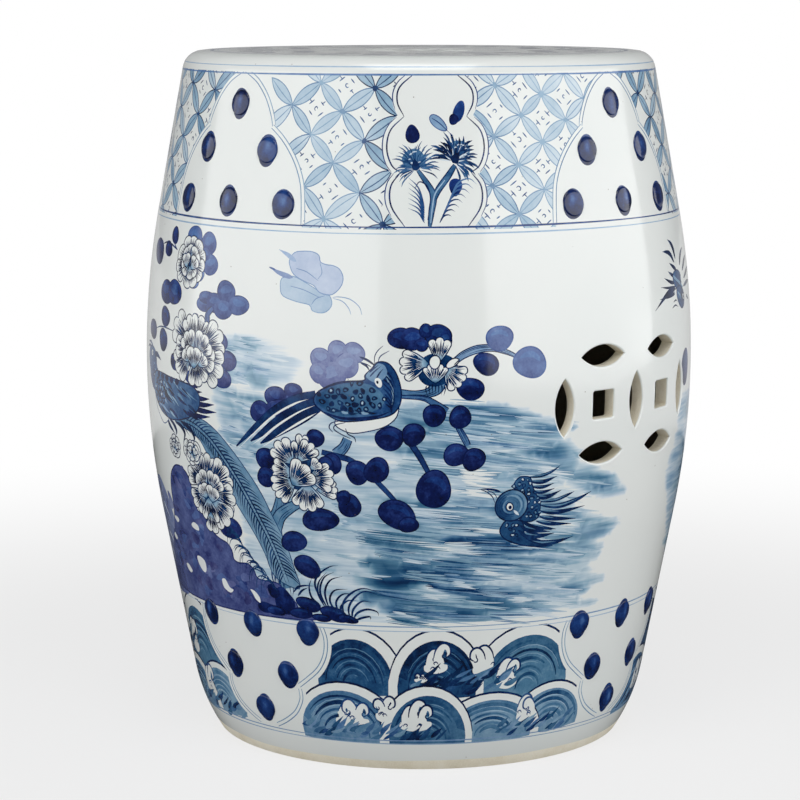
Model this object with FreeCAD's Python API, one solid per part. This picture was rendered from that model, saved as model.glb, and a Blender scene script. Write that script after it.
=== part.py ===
"""Ceramic garden stool: a barrel built from luted clay sections, with pierced coins and rows of bosses.

Millimetres. +Z is up, the origin is the centre of the foot on the floor, the front faces -Y and the
pierced double coins face +X and -X. An angle round the stool is in degrees from the front towards +X.
"""
import FreeCAD, Part
import math
import os

# Heights, from the top down and from the floor up. The barrel fills what is left between the bands.
stool_height = 457.0
seat_thickness = 12.0
shoulder_band = 92.0
base_band = 77.0
foot_band = 20.0

# Outline of the outside: a wide belly arc, a straight cone above and below it, and a tucked foot.
belly_radius = 184.3
belly_arc_radius = 545.0
belly_rise = 27.0
upper_lean = 10.4
lower_lean = 10.8
foot_curl_height = 41.0
foot_tuck = 8.5
seat_edge_radius = 13.0

# Clay thickness and the inside of the foot.
wall = 8.8
foot_width = 11.0
foot_ledge = 6.0

# Clay coils pressed into the seams from inside.
corner_coil = 8.0
foot_coil = 5.0
coil_clearance = 0.2
seam_coil_height = 14.0
seam_coil_bulge = 3.0

# Pierced coins: four leaf-shaped holes round a square one. Two coins share one leaf on each side.
coin_square = 18.0
coin_leaf_reach = 31.0
coin_leaf_length = 37.0
coin_leaf_width = 14.0
coin_rise = 14.0
side_opening_angles = (90.0, 270.0)

# Round bosses, six on each pointed lappet: rows of three, two and one. The upper lappets point up from
# the shoulder seam, and the lower ones point down from the base seam.
boss_diameter = 16.5
boss_height = 1.6
boss_edge_radius = 1.0
upper_boss_rise = (13.0, 45.5, 74.0)
upper_boss_spread = (14.8, 9.5, 0.0)
upper_lappet_angles = (-3.1, 89.6, 180.6, 269.2)
lower_boss_drop = (3.0, 35.0, 61.5)
lower_boss_spread = (15.2, 8.6, 0.0)
lower_lappet_angles = (0.3, 95.3, 179.5, 270.8)

# Heights of the seams, worked out from the bands.
seat_seam = stool_height - seat_thickness
shoulder_seam = seat_seam - shoulder_band
foot_seam = foot_band
base_seam = foot_band + base_band
barrel_middle = (base_seam + shoulder_seam) / 2
belly_height = barrel_middle + belly_rise
coin_height = barrel_middle + coin_rise
upper_boss_heights = [shoulder_seam + rise for rise in upper_boss_rise]
lower_boss_heights = [base_seam - drop for drop in lower_boss_drop]


def point(radius, height):
    """A point of the outline, drawn in the XZ plane."""
    return FreeCAD.Vector(radius, 0, height)


def line(start, end):
    return Part.LineSegment(start, end).toShape()


def arc(start, middle, end):
    return Part.Arc(start, middle, end).toShape()


class Outline:
    """The wall's outline at a depth under the outer face, as stretches of arc and cone.

    Each stretch is (low height, high height, radius at a height, whether it is an arc).
    """

    def __init__(self, depth):
        upper = math.radians(upper_lean)
        lower = math.radians(lower_lean)
        arc_radius = belly_arc_radius - depth
        centre = belly_radius - belly_arc_radius
        top_z = belly_height + arc_radius * math.sin(upper)
        top_r = centre + arc_radius * math.cos(upper)
        low_z = belly_height - arc_radius * math.sin(lower)
        low_r = centre + arc_radius * math.cos(lower)

        # The foot curls in from the outer face's lower cone, to a point tucked in at the floor.
        face_z = belly_height - belly_arc_radius * math.sin(lower)
        face_r = centre + belly_arc_radius * math.cos(lower)
        curl_r = face_r - (face_z - foot_curl_height) * math.tan(lower)
        floor_r = curl_r - foot_curl_height * math.tan(lower) - foot_tuck
        chord_r = floor_r - curl_r
        chord_z = -foot_curl_height
        inward = -chord_r * math.cos(lower) + chord_z * math.sin(lower)
        curl_radius = (chord_r ** 2 + chord_z ** 2) / (2 * inward)
        curl_centre_r = curl_r - curl_radius * math.cos(lower)
        curl_centre_z = foot_curl_height + curl_radius * math.sin(lower)
        curl_radius = curl_radius - depth
        curl_top_z = curl_centre_z - curl_radius * math.sin(lower)

        def upper_cone(z):
            return top_r - (z - top_z) * math.tan(upper)

        def belly(z):
            return centre + math.sqrt(arc_radius ** 2 - (z - belly_height) ** 2)

        def lower_cone(z):
            return low_r - (low_z - z) * math.tan(lower)

        def curl(z):
            return curl_centre_r + math.sqrt(curl_radius ** 2 - (z - curl_centre_z) ** 2)

        self.stretches = (
            (0.0, curl_top_z, curl, True),
            (curl_top_z, low_z, lower_cone, False),
            (low_z, top_z, belly, True),
            (top_z, stool_height, upper_cone, False),
        )

    def radius(self, z):
        for low, high, at, curved in self.stretches:
            if z <= high:
                return at(z)
        return at(z)

    def point(self, z):
        return point(self.radius(z), z)

    def edges(self, bottom, top):
        """The outline's edges from one height up to another."""
        found = []
        for low, high, at, curved in self.stretches:
            start = max(low, bottom)
            end = min(high, top)
            if end - start < 1e-6:
                continue
            middle = (start + end) / 2
            if curved:
                found.append(arc(point(at(start), start), point(at(middle), middle), point(at(end), end)))
            else:
                found.append(line(point(at(start), start), point(at(end), end)))
        return found

    def normal(self, z):
        """The outward normal of the outline at a height, in the XZ plane."""
        step = 0.01
        rise = self.radius(z + step) - self.radius(z - step)
        return FreeCAD.Vector(2 * step, 0, -rise).normalize()


outside = Outline(0.0)
inside = Outline(wall)
coil_line = Outline(wall + coil_clearance)


def turned(edges):
    """A solid turned round the stool's axis from a closed outline."""
    face = Part.Face(Part.Wire(Part.__sortEdges__(edges)))
    return face.revolve(FreeCAD.Vector(0, 0, 0), FreeCAD.Vector(0, 0, 1), 360)


def at_angle(shape, angle):
    """A shape drawn on the +X side, moved round to an angle from the front."""
    moved = shape.copy()
    moved.rotate(FreeCAD.Vector(0, 0, 0), FreeCAD.Vector(0, 0, 1), angle - 90)
    return moved


def wall_ring(bottom, top):
    """A thrown section of the wall between two seams."""
    edges = outside.edges(bottom, top) + inside.edges(bottom, top)
    edges.append(line(outside.point(bottom), inside.point(bottom)))
    edges.append(line(outside.point(top), inside.point(top)))
    return turned(edges)


def leaf_face(length, width):
    """A pointed leaf, long way along Y, drawn in the YZ plane round the origin."""
    tip = FreeCAD.Vector(0, length / 2, 0)
    side = FreeCAD.Vector(0, 0, width / 2)
    over = arc(tip, side, tip * -1)
    under = arc(tip * -1, side * -1, tip)
    return Part.Face(Part.Wire([over, under]))


def square_face(side):
    half = side / 2
    corners = [(-half, -half), (half, -half), (half, half), (-half, half), (-half, -half)]
    return Part.Face(Part.makePolygon([FreeCAD.Vector(0, y, z) for y, z in corners]))


def turned_leaf():
    """The leaf with its long way along Z."""
    face = leaf_face(coin_leaf_length, coin_leaf_width)
    face.rotate(FreeCAD.Vector(0, 0, 0), FreeCAD.Vector(1, 0, 0), 90)
    return face


def side_cutter(face, swing, height):
    """A tool that cuts a face's shape straight through the wall, towards the axis."""
    start = belly_radius - 4 * wall
    tool = face.copy()
    tool.translate(FreeCAD.Vector(start, 0, height))
    tool = tool.extrude(FreeCAD.Vector(belly_radius + wall - start, 0, 0))
    tool.rotate(FreeCAD.Vector(0, 0, 0), FreeCAD.Vector(0, 0, 1), swing)
    return tool


def double_coin_cutters():
    """Tools for two coins side by side that share the leaf between them, on the +X side."""
    reach_angle = math.degrees(coin_leaf_reach / outside.radius(coin_height))
    cutters = []
    for swing in (-2 * reach_angle, 0.0, 2 * reach_angle):
        cutters.append(side_cutter(turned_leaf(), swing, coin_height))
    for swing in (-reach_angle, reach_angle):
        cutters.append(side_cutter(square_face(coin_square), swing, coin_height))
        for rise in (-coin_leaf_reach, coin_leaf_reach):
            leaf = leaf_face(coin_leaf_length, coin_leaf_width)
            cutters.append(side_cutter(leaf, swing, coin_height + rise))
    return cutters


def make_barrel():
    cutters = []
    for angle in side_opening_angles:
        cutters += [at_angle(cutter, angle) for cutter in double_coin_cutters()]
    return wall_ring(base_seam, shoulder_seam).cut(Part.makeCompound(cutters))


def make_seat_slab():
    """A flat round slab with a rounded edge, pierced with one coin at its centre."""
    lean = math.radians(upper_lean)
    corner_radius = outside.radius(stool_height)
    setback = seat_edge_radius * math.tan((math.pi / 2 - lean) / 2)
    edge_low = FreeCAD.Vector(corner_radius + setback * math.sin(lean), 0, stool_height - setback * math.cos(lean))
    edge_top = point(corner_radius - setback, stool_height)
    centre = point(corner_radius - setback, stool_height - seat_edge_radius)
    outward = (edge_low - centre + edge_top - centre).normalize()
    edge_middle = centre + outward * seat_edge_radius
    edges = [
        line(point(0, seat_seam), outside.point(seat_seam)),
        line(outside.point(seat_seam), edge_low),
        arc(edge_low, edge_middle, edge_top),
        line(edge_top, point(0, stool_height)),
        line(point(0, stool_height), point(0, seat_seam)),
    ]
    slab = turned(edges)
    cutters = [Part.makeBox(coin_square, coin_square, 3 * seat_thickness)]
    cutters[0].translate(FreeCAD.Vector(-coin_square / 2, -coin_square / 2, seat_seam - seat_thickness))
    for quarter in range(4):
        leaf = leaf_face(coin_leaf_length, coin_leaf_width)
        leaf.rotate(FreeCAD.Vector(0, 0, 0), FreeCAD.Vector(0, 1, 0), 90)
        leaf.translate(FreeCAD.Vector(coin_leaf_reach, 0, seat_seam - seat_thickness))
        leaf.rotate(FreeCAD.Vector(0, 0, 0), FreeCAD.Vector(0, 0, 1), 90 * quarter)
        cutters.append(leaf.extrude(FreeCAD.Vector(0, 0, 3 * seat_thickness)))
    return slab.cut(Part.makeCompound(cutters))


def make_foot_ring():
    """The thick foot: flat on the floor, with a ledge inside for the seam's coil."""
    floor_inner = point(outside.radius(0.0) - foot_width, 0)
    ledge_inner = point(inside.radius(foot_seam) - foot_ledge, foot_seam)
    edges = outside.edges(0.0, foot_seam)
    edges.append(line(outside.point(foot_seam), ledge_inner))
    edges.append(line(ledge_inner, floor_inner))
    edges.append(line(floor_inner, outside.point(0.0)))
    return turned(edges)


def corner_fill(leg, seam, upwards):
    """A coil smoothed into the inside corner of the wall and a flat face at a seam."""
    corner = coil_line.point(seam)
    far = seam + leg if upwards else seam - leg
    on_wall = coil_line.point(far)
    on_flat = point(corner.x - leg, seam)
    hollow = (on_wall + on_flat) * 0.35 + corner * 0.3
    edges = coil_line.edges(min(seam, far), max(seam, far))
    edges.append(line(corner, on_flat))
    edges.append(arc(on_wall, hollow, on_flat))
    return turned(edges)


def seam_bead(seam):
    """A low rounded coil over a seam on the inside of the wall."""
    low = seam - seam_coil_height / 2
    high = seam + seam_coil_height / 2
    crown = point(inside.radius(seam) - seam_coil_bulge, seam)
    edges = inside.edges(low, high)
    edges.append(arc(inside.point(low), crown, inside.point(high)))
    return turned(edges)


def button_outline():
    """Half the section of a low round button: flat underneath, a rounded edge, a shallow dome."""
    plan = boss_diameter / 2
    edge = min(boss_edge_radius, 0.8 * boss_height)
    dome_reach = plan - edge
    dome_rise = boss_height - edge
    dome_radius = (dome_reach ** 2 + dome_rise ** 2) / (2 * dome_rise)
    dome_middle = boss_height - dome_radius + math.sqrt(dome_radius ** 2 - (dome_reach / 2) ** 2)
    corner = edge * math.sqrt(0.5)

    def at(out, up):
        return FreeCAD.Vector(out, up, 0)

    return [
        line(at(0, -boss_height), at(plan, -boss_height)),
        line(at(plan, -boss_height), at(plan, 0)),
        arc(at(plan, 0), at(dome_reach + corner, corner), at(dome_reach, edge)),
        arc(at(dome_reach, edge), at(dome_reach / 2, dome_middle), at(0, boss_height)),
        line(at(0, boss_height), at(0, -boss_height)),
    ]


def wall_core(bottom, top):
    """Everything inside the outer face between two heights."""
    edges = outside.edges(bottom, top)
    edges.append(line(outside.point(bottom), point(0, bottom)))
    edges.append(line(point(0, bottom), point(0, top)))
    edges.append(line(point(0, top), outside.point(top)))
    return turned(edges)


def boss(height):
    """A button seated on the wall's outer face at a height, on the +X side."""
    face = Part.Face(Part.Wire(button_outline()))
    button = face.revolve(FreeCAD.Vector(0, 0, 0), FreeCAD.Vector(0, 1, 0), 360)
    turn = FreeCAD.Rotation(FreeCAD.Vector(0, 1, 0), outside.normal(height))
    button.Placement = FreeCAD.Placement(outside.point(height), turn)
    return button.cut(wall_core(height - boss_diameter, height + boss_diameter)).Solids[0]


def boss_group(heights, spreads, angles):
    """Six bosses on each lappet: three, two and one, from the lappet's wide end to its tip."""
    solids = []
    for height, spread, count in zip(heights, spreads, (3, 2, 1)):
        button = boss(height)
        for angle in angles:
            for index in range(count):
                side = 0.0 if count == 1 else 2 * index / (count - 1) - 1
                solids.append(at_angle(button, angle + side * spread))
    return Part.makeCompound(solids)


def make_parts():
    return {
        "seat_slab": make_seat_slab(),
        "shoulder_ring": wall_ring(shoulder_seam, seat_seam),
        "barrel": make_barrel(),
        "base_ring": wall_ring(foot_seam, base_seam),
        "foot_ring": make_foot_ring(),
        "seat_joint_coil": corner_fill(corner_coil, seat_seam, upwards=False),
        "shoulder_joint_coil": seam_bead(shoulder_seam),
        "base_joint_coil": seam_bead(base_seam),
        "foot_joint_coil": corner_fill(foot_coil, foot_seam, upwards=True),
        "upper_bosses": boss_group(upper_boss_heights, upper_boss_spread, upper_lappet_angles),
        "lower_bosses": boss_group(lower_boss_heights, lower_boss_spread, lower_lappet_angles),
    }


def write_parts():
    os.makedirs("parts", exist_ok=True)
    for node, shape in make_parts().items():
        if not shape.isValid():
            raise ValueError(node + " is not a valid shape")
        shape.exportStep("parts/" + node + ".step")
        print(node, len(shape.Solids), "solids", round(shape.Volume), "mm3")


write_parts()
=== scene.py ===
"""Ceramic garden stool: the looks of a white glazed barrel stool painted by brush in blue.

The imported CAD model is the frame, in metres. The wall's outline is repeated here in millimetres, and each
thrown section gets a new skin in which every brush mark is cut into the mesh, so the painting is geometry
and not a picture. Angles are in degrees; an angle of the painting is seen from the camera's side.
"""
import math
import random

import bpy
import numpy as np
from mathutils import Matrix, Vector
from mathutils.geometry import delaunay_2d_cdt


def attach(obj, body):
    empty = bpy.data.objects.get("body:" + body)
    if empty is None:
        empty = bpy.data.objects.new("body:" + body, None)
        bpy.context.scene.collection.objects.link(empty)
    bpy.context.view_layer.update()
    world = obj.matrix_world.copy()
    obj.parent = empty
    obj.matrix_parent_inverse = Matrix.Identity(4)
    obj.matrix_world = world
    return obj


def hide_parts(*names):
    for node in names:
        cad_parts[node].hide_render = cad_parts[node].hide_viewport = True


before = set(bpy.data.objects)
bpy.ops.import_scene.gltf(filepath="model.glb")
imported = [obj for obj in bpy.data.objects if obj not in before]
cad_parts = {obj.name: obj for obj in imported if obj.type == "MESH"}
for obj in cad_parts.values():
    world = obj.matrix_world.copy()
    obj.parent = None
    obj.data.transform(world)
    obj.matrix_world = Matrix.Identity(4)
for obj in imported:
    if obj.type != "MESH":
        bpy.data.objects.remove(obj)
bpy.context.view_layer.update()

# The thrown shape, as the CAD has it, in millimetres and radians.
STOOL_HEIGHT = 457.0
WALL = 8.8
BELLY_RADIUS = 184.3
BELLY_ARC = 545.0
BELLY_HEIGHT = 252.0
UPPER_LEAN = math.radians(10.4)
LOWER_LEAN = math.radians(10.8)
CURL_HEIGHT = 41.0
FOOT_TUCK = 8.5
FOOT_WIDTH = 11.0
FOOT_LEDGE = 6.0
SEAMS = (20.0, 97.0, 353.0, 445.0)
SEAT_EDGE = 13.0
SEAT_LEDGE = 12.0
# The pierced coins: a square and pointed leaves round it.
COIN_SQUARE = 18.0
COIN_CORNER = 1.6
LEAF_REACH = 31.0
LEAF_LENGTH = 37.0
LEAF_WIDTH = 14.0
COIN_HEIGHT = 239.0
SIDE_OPENINGS = (90.0, 270.0)
LIP = 1.2
LIP_TURNS = (0.0, 30.0, 60.0, 90.0)
# The bosses. A band has its lappets' angles, its rows' heights and how far each row spreads, in degrees.
BOSS_RADIUS = 8.25
BOSS_HEIGHT = 1.6
BOSS_EDGE = 1.0
BOSS_RINGS = (1.5, 3.2, 4.8, 6.2, 7.25, 7.7, 8.05, 8.25)
BOSS_SUNK = 0.4
BOSS_COUNT = 24
BOSS_HUE = 0.42
BOSS_ROWS = (3, 2, 1)
UPPER_BOSSES = ((-3.1, 89.6, 180.6, 269.2), (366.0, 398.5, 427.0), (14.8, 9.5, 0.0))
LOWER_BOSSES = ((0.3, 95.3, 179.5, 270.8), (94.0, 62.0, 35.5), (15.2, 8.6, 0.0))
# The painting: where its zero angle lies in the CAD frame, and the heights of its bands and turned lines.
VIEW_TURN = 41.3
BAND_LOW = 353.5
BAND_HIGH = 446.0
SEAT_LINES = (445.5, 450.5)
BASE_LINES = (21.8, 19.3)
BASE_TOP_LINES = (100.2, 97.2)
WIPED_FOOT = 6.6


# Brush tools. The painting is drawn flat, in millimetres: x runs round the wall at the drawing radius,
# so one degree is DEGREE mm, and y is the height above the floor.
DEGREE = math.pi


def at(degrees, height):
    """A place on the flat drawing, from an angle seen from the camera's side and a height."""
    return np.array((degrees * DEGREE, height), float)


def places(pairs):
    """Places on the flat drawing from pairs of degrees and height."""
    return np.array([at(*pair) for pair in pairs])


def smooth(points, steps=6, closed=False):
    """A curve through the points, with steps to each stretch."""
    p = np.asarray(points, float)
    if closed:
        p = np.vstack((p[-1:], p, p[:2]))
    else:
        p = np.vstack((2 * p[0] - p[1], p, 2 * p[-1] - p[-2]))
    t = np.linspace(0, 1, steps, endpoint=False)[:, None]
    a, b, c, d = p[:-3, None], p[1:-2, None], p[2:-1, None], p[3:, None]
    curve = 0.5 * (2 * b + (c - a) * t + (2 * a - 5 * b + 4 * c - d) * t ** 2
                   + (3 * b - a - 3 * c + d) * t ** 3)
    curve = curve.reshape(-1, 2)
    return curve if closed else np.vstack((curve, p[-2:-1]))


def rounded(pairs, steps=3):
    """A closed outline with soft corners through places given as degrees and heights."""
    return smooth(places(pairs), steps, closed=True)


def sideways(points, closed=False):
    """The unit direction to the left of the way a line runs, at each of its points."""
    p = np.asarray(points, float)
    if closed:
        run = np.roll(p, -1, 0) - np.roll(p, 1, 0)
    else:
        run = np.gradient(p, axis=0)
    run /= np.maximum(np.linalg.norm(run, axis=1, keepdims=True), 1e-9)
    return np.stack((-run[:, 1], run[:, 0]), 1)


def ribbon(points, widths):
    """The outline of a stroke along points, with a width at each."""
    half = sideways(points) * (np.asarray(widths, float) / 2)[:, None]
    return np.vstack((points + half, (points - half)[::-1]))


def swelling(line, start=0.2, end=2.9):
    """How full a stroke is at each point of a line: thin, then full, then thin."""
    return np.sin(np.linspace(start, end, len(line)))


def turned(points, angle):
    """Points turned about the origin by an angle in degrees."""
    c, s = math.cos(math.radians(angle)), math.sin(math.radians(angle))
    return np.asarray(points, float) @ np.array(((c, s), (-s, c)))


def heading(angle):
    """The unit direction at an angle in degrees."""
    return np.array((math.cos(math.radians(angle)), math.sin(math.radians(angle))))


def inset(outline, distance):
    """An outline drawn in by a distance. The outline runs anticlockwise."""
    return outline + sideways(outline, closed=True) * distance


def anticlockwise(outline):
    """A closed outline, turned round if it runs clockwise."""
    x, y = outline[:, 0], outline[:, 1]
    area = np.sum(x * np.roll(y, -1) - np.roll(x, -1) * y)
    return outline if area > 0 else outline[::-1]


class Painting:
    """Brush marks in the order they were laid. Tone runs from 0, bare glaze, to 1, the densest blue, and
    hue from 0, a green blue, through 0.5, cobalt, to 1, a violet blue."""

    def __init__(self):
        self.marks = []
        self.washes = []

    def shape(self, outline, tone, hue=0.5, fade=None):
        """A filled outline. fade is (place, place, tone) for a tone that changes between two places."""
        self.marks.append((np.asarray(outline, float), tone, hue, fade))

    def line(self, points, width=0.8, tone=0.9, hue=0.45, taper=0.35, steps=5):
        """A brush line through points, which thins to a share of its width at both ends."""
        curve = smooth(points, steps)
        t = np.linspace(0, 1, len(curve))
        widths = width * (taper + (1 - taper) * np.maximum(np.sin(math.pi * t), 0.0) ** 0.7)
        self.shape(ribbon(curve, widths), tone, hue)

    def lines(self, tracks, width=0.8, tone=0.9, hue=0.45, taper=0.35):
        """Brush lines through tracks of places given as degrees and heights."""
        for track in tracks:
            self.line(places(track), width, tone, hue, taper)

    def flick(self, points, width=1.2, tone=0.85, hue=0.45, steps=5, head=0.25):
        """A stroke that is pressed down near its start and lifted to a point at its end."""
        curve = smooth(points, steps)
        t = np.linspace(0, 1, len(curve))
        rising = np.sin(np.minimum(t / head, 1.0) * math.pi / 2) ** 0.6
        press = np.where(t < head, rising, np.cos((t - head) / (1 - head) * math.pi / 2))
        self.shape(ribbon(curve, width * np.maximum(press, 0.08)), tone, hue)

    def flicks(self, tracks, width, tone, hue, steps=5, head=0.25):
        """Flicks through tracks of places given as degrees and heights."""
        for track in tracks:
            self.flick(places(track), width, tone, hue, steps, head)

    def outlined(self, outline, line=0.7, tone=0.0, line_tone=0.9, hue=0.5, line_hue=0.45, fade=None):
        """A shape with a dark outline and a paler inside."""
        outline = anticlockwise(np.asarray(outline, float))
        self.shape(inset(outline, -line / 2), line_tone, line_hue)
        self.shape(inset(outline, line / 2), tone, hue, fade)

    def ring(self, height, width, tone, hue):
        """A line all round, turned on the wheel, that swells and thins a little."""
        degrees = np.arange(-180, 181, 2.0)
        level = height + 0.25 * np.sin(np.radians(3 * degrees + height))
        swell = width * (0.85 + 0.2 * np.sin(np.radians(5 * degrees + 2 * height)))
        swell[-1], level[-1] = swell[0], level[0]
        middle = np.stack((degrees * DEGREE, level), 1)
        half = np.stack((np.zeros(len(swell)), swell / 2), 1)
        self.shape(np.vstack((middle - half, (middle + half)[::-1])), tone, hue)

    def bare(self, low, high):
        """Wipes everything between two heights back to the bare glaze."""
        left, right = -180 * DEGREE, 180 * DEGREE
        self.shape([(left, low), (right, low), (right, high), (left, high)], 0.0)

    def wash(self, outline, tone, feather=12.0, hue=0.3):
        """A soft field of pale blue inside an outline, worked out later at each place of the surface."""
        self.washes.append((np.asarray(outline, float), tone, feather, hue))

    def again(self, first_mark, first_wash, turn):
        """Paints everything laid since the given counts once more, turned round the stool."""
        shift = np.array((turn * DEGREE, 0.0))
        for outline, tone, hue, fade in self.marks[first_mark:]:
            ends = fade and (fade[0] + shift, fade[1] + shift, fade[2])
            self.marks.append((outline + shift, tone, hue, ends))
        for outline, tone, feather, hue in self.washes[first_wash:]:
            self.washes.append((outline + shift, tone, feather, hue))


# The upper band: a net of petalled coins, pointed lappets, and a lobed cartouche with a sprig in each gap.
# Angles are of the drawing, and the lappets and gaps go round the stool in the order given.
UPPER_LAPPETS = (-44.4, 48.3, 139.3, 227.9)
LOWER_LAPPETS = (-41.0, 54.0, 138.2, -130.5)
UPPER_LAPPET_TONES = (0.48, 0.55, 0.5, 0.5)
LOWER_LAPPET_TONES = (0.5, 0.45, 0.5, 0.45)
UPPER_LAPPET_ARCS = (
    ((0.0, 446.5), (4.3, 440), (7.6, 430), (9.6, 419), (10.2, 413)),
    ((10.0, 412.0), (13.0, 405), (16.3, 393), (18.6, 377), (19.4, 353)),
)
LOWER_LAPPET_ARCS = (
    ((18.9, 99.0), (19.8, 90), (19.3, 78), (16.8, 66), (11.6, 54.0)),
    ((11.9, 53.0), (11.9, 45), (9.8, 35), (6.2, 27.5), (3.0, 23)),
)
LAPPET_LINE_GAP = 2.6
LAPPET_MARGIN = 3.0
CARTOUCHE_LOBES = (
    ((4.6, 446.5), (7.9, 438), (8.3, 429), (6.8, 420.5)),
    ((6.8, 420.5), (9.7, 412), (10.4, 401), (9.3, 391), (7.4, 386.5)),
    ((7.4, 386.5), (9.4, 378), (9.2, 366), (6.2, 353)),
)
CARTOUCHE_LINE_GAP = 3.0
CARTOUCHE_MARGIN = 3.4
GAP_CENTRES = (3.2, 93.8, 183.6, 271.8)
PETAL_FULLNESS = 0.165
# The pieces of the net: from and to in degrees, one knot, the steps down and up to the next knots, and how
# strong the line is at some angles.
STEEP_NET = ((17.6, -17.4), (21.6, 15.0))
FLAT_NET = ((17.0, -17.0), (20.0, 14.0))
NETS = (
    (-34, 4, (-24.2, 408), STEEP_NET, ((-33, 0.75), (-28, 0.42), (-17, 0.45), (-11, 0.85))),
    (2, 42, (27.3, 404), ((16.4, -17.0), (19.0, 12.8)), ((12, 0.5), (24, 0.36), (42, 0.42))),
    (54, 94, (66.5, 415), STEEP_NET, ((58, 0.85), (75, 0.8), (90, 0.55))),
    (94, 134, (118, 404), FLAT_NET, ((98, 0.5), (130, 0.4))),
    (144, 184, (160, 410), STEEP_NET, ((146, 0.7), (160, 0.4), (180, 0.8))),
    (184, 224, (204, 402), FLAT_NET, ((186, 0.5), (220, 0.4))),
    (234, 272, (251, 409), STEEP_NET, ((236, 0.6), (250, 0.4), (272, 0.85))),
    (272, 310, (292, 404), STEEP_NET, ((272, 0.5), (290, 0.75), (310, 0.85))),
)
NET_REACH = 14


def mirrored(pairs, centre, side):
    """Places given from a centre line, on its right for side 1 and on its left for side -1."""
    return places([(centre + side * degrees, height) for degrees, height in pairs])


def petal(art, start, end, fullness, tone, strength, rng):
    """A pointed petal between two knots, with its outline and vein."""
    run = end - start
    side = np.array((-run[1], run[0])) * fullness
    start, end = start - run * 0.01, end + run * 0.01
    rim = [start, start * 0.78 + end * 0.22 + side * 0.7, (start + end) / 2 + side,
           start * 0.22 + end * 0.78 + side * 0.7, end]
    back = [start + end - point for point in rim]
    leaf = np.vstack((smooth(rim, 4)[:-1], smooth(back, 4)[:-1]))
    art.outlined(leaf, line=0.7, tone=tone * rng.uniform(0.8, 1.5), line_tone=strength, hue=0.12,
                 line_hue=0.22, fade=(start, end, tone * rng.uniform(0.6, 1.7)))
    bend = side * rng.uniform(-0.2, 0.2)
    art.line([start, (start + end) / 2 + bend, end], width=0.7, tone=strength * 0.9, hue=0.25, steps=4)


def coin_marks(art, corners, level, rng):
    """The short strokes on the four sides of a diamond of the net, and the curl in its middle."""
    centre = sum(corners) / 4
    for first, second in zip(corners, corners[1:] + corners[:1]):
        side = (first + second) / 2
        along_side = (second - first) / np.linalg.norm(second - first)
        middle = centre + (side - centre) * rng.uniform(0.36, 0.5)
        run = along_side * rng.uniform(1.2, 2.8)
        art.line([middle - run, middle, middle + run], width=0.9, tone=level, hue=0.25, steps=2)
        if rng.random() < 0.5:
            art.line([middle, middle + (side - centre) * 0.2], width=0.8, tone=level, hue=0.25, steps=2)
    curl = np.array(((-1.6, 0.4), (-0.4, 1.3), (1.0, 0.6), (0.9, -0.7), (-0.3, -0.9))) * rng.uniform(0.8, 1.2)
    art.line(turned(curl, rng.uniform(0, 360)) + centre, width=0.8, tone=level, hue=0.25, steps=3)


def lattice(art, left, right, anchor, steps, strengths, seed):
    """Petals along both sides of every diamond of a slanted net."""
    rng = random.Random(seed)
    low = np.array((left * DEGREE, BAND_LOW - 8.0))
    high = np.array((right * DEGREE, BAND_HIGH + 6.0))
    anchor, (down, up) = at(*anchor), np.array(steps)
    angles, values = zip(*strengths)
    wobble = {}

    def knot(i, j):
        if (i, j) not in wobble:
            wobble[i, j] = np.array((rng.uniform(-1.2, 1.2), rng.uniform(-1.2, 1.2)))
        return anchor + i * down + j * up + wobble[i, j]

    def drawn(place):
        return (place > low).all() and (place < high).all()

    for i in range(-NET_REACH, NET_REACH + 1):
        for j in range(-NET_REACH, NET_REACH + 1):
            here = knot(i, j)
            if not drawn(here):
                continue
            strength = float(np.interp(here[0] / DEGREE, angles, values))
            strength = min(0.95, strength * rng.uniform(0.88, 1.15))
            tone = 0.08 + 0.24 * strength
            for step in ((1, 0), (0, 1), (-1, 0), (0, -1)):
                other = knot(i + step[0], j + step[1])
                if step in ((1, 0), (0, 1)) or not drawn(other):
                    petal(art, here, other, PETAL_FULLNESS, tone, strength, rng)
            if rng.random() < 0.5:
                dot = blob(*(here / (DEGREE, 1)), rng.uniform(3, 5.5), rng.uniform(2.5, 4), 0, rng, 0.12)
                art.shape(dot, strength * 0.9, 0.2)
            corners = [here, knot(i + 1, j), knot(i + 1, j + 1), knot(i, j + 1)]
            coin_marks(art, corners, 0.46 + 0.46 * strength, rng)


def lappet(art, centre, tone, arcs, edge):
    """A pointed panel of two arcs a side, its inside left white, with a double outline."""
    top_arc, low_arc = arcs
    left, right = [smooth(mirrored(top_arc + low_arc, centre, side), 4) for side in (-1, 1)]
    panel = np.vstack((left, right[::-1]))
    art.shape(inset(anticlockwise(panel), -LAPPET_MARGIN), 0.0)
    for side in (-1, 1):
        for arc in arcs:
            curve = smooth(mirrored(arc, centre, side), 8)
            second = curve + sideways(curve) * side * edge * LAPPET_LINE_GAP
            art.line(curve[::4], 0.75, tone, 0.2, taper=0.6)
            art.line(second[::4], 0.75, tone * 0.85, 0.2, taper=0.6)


def cartouche(art, centre, tone):
    """A panel of three lobes a side with a double outline, its inside left white."""
    left, right = [np.vstack([smooth(mirrored(lobe, centre, side), 4) for lobe in CARTOUCHE_LOBES])
                   for side in (-1, 1)]
    art.shape(inset(anticlockwise(np.vstack((left, right[::-1]))), -CARTOUCHE_MARGIN), 0.0)
    for side in (-1, 1):
        for lobe in CARTOUCHE_LOBES:
            points = mirrored(lobe, centre, side)
            curve = smooth(points, 6)
            second = curve + sideways(curve) * side * CARTOUCHE_LINE_GAP
            art.line(points, 1.1, tone, 0.45, taper=0.3)
            art.line(second[2:-2:3], 0.8, tone * 0.85, 0.45, taper=0.3)


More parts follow.
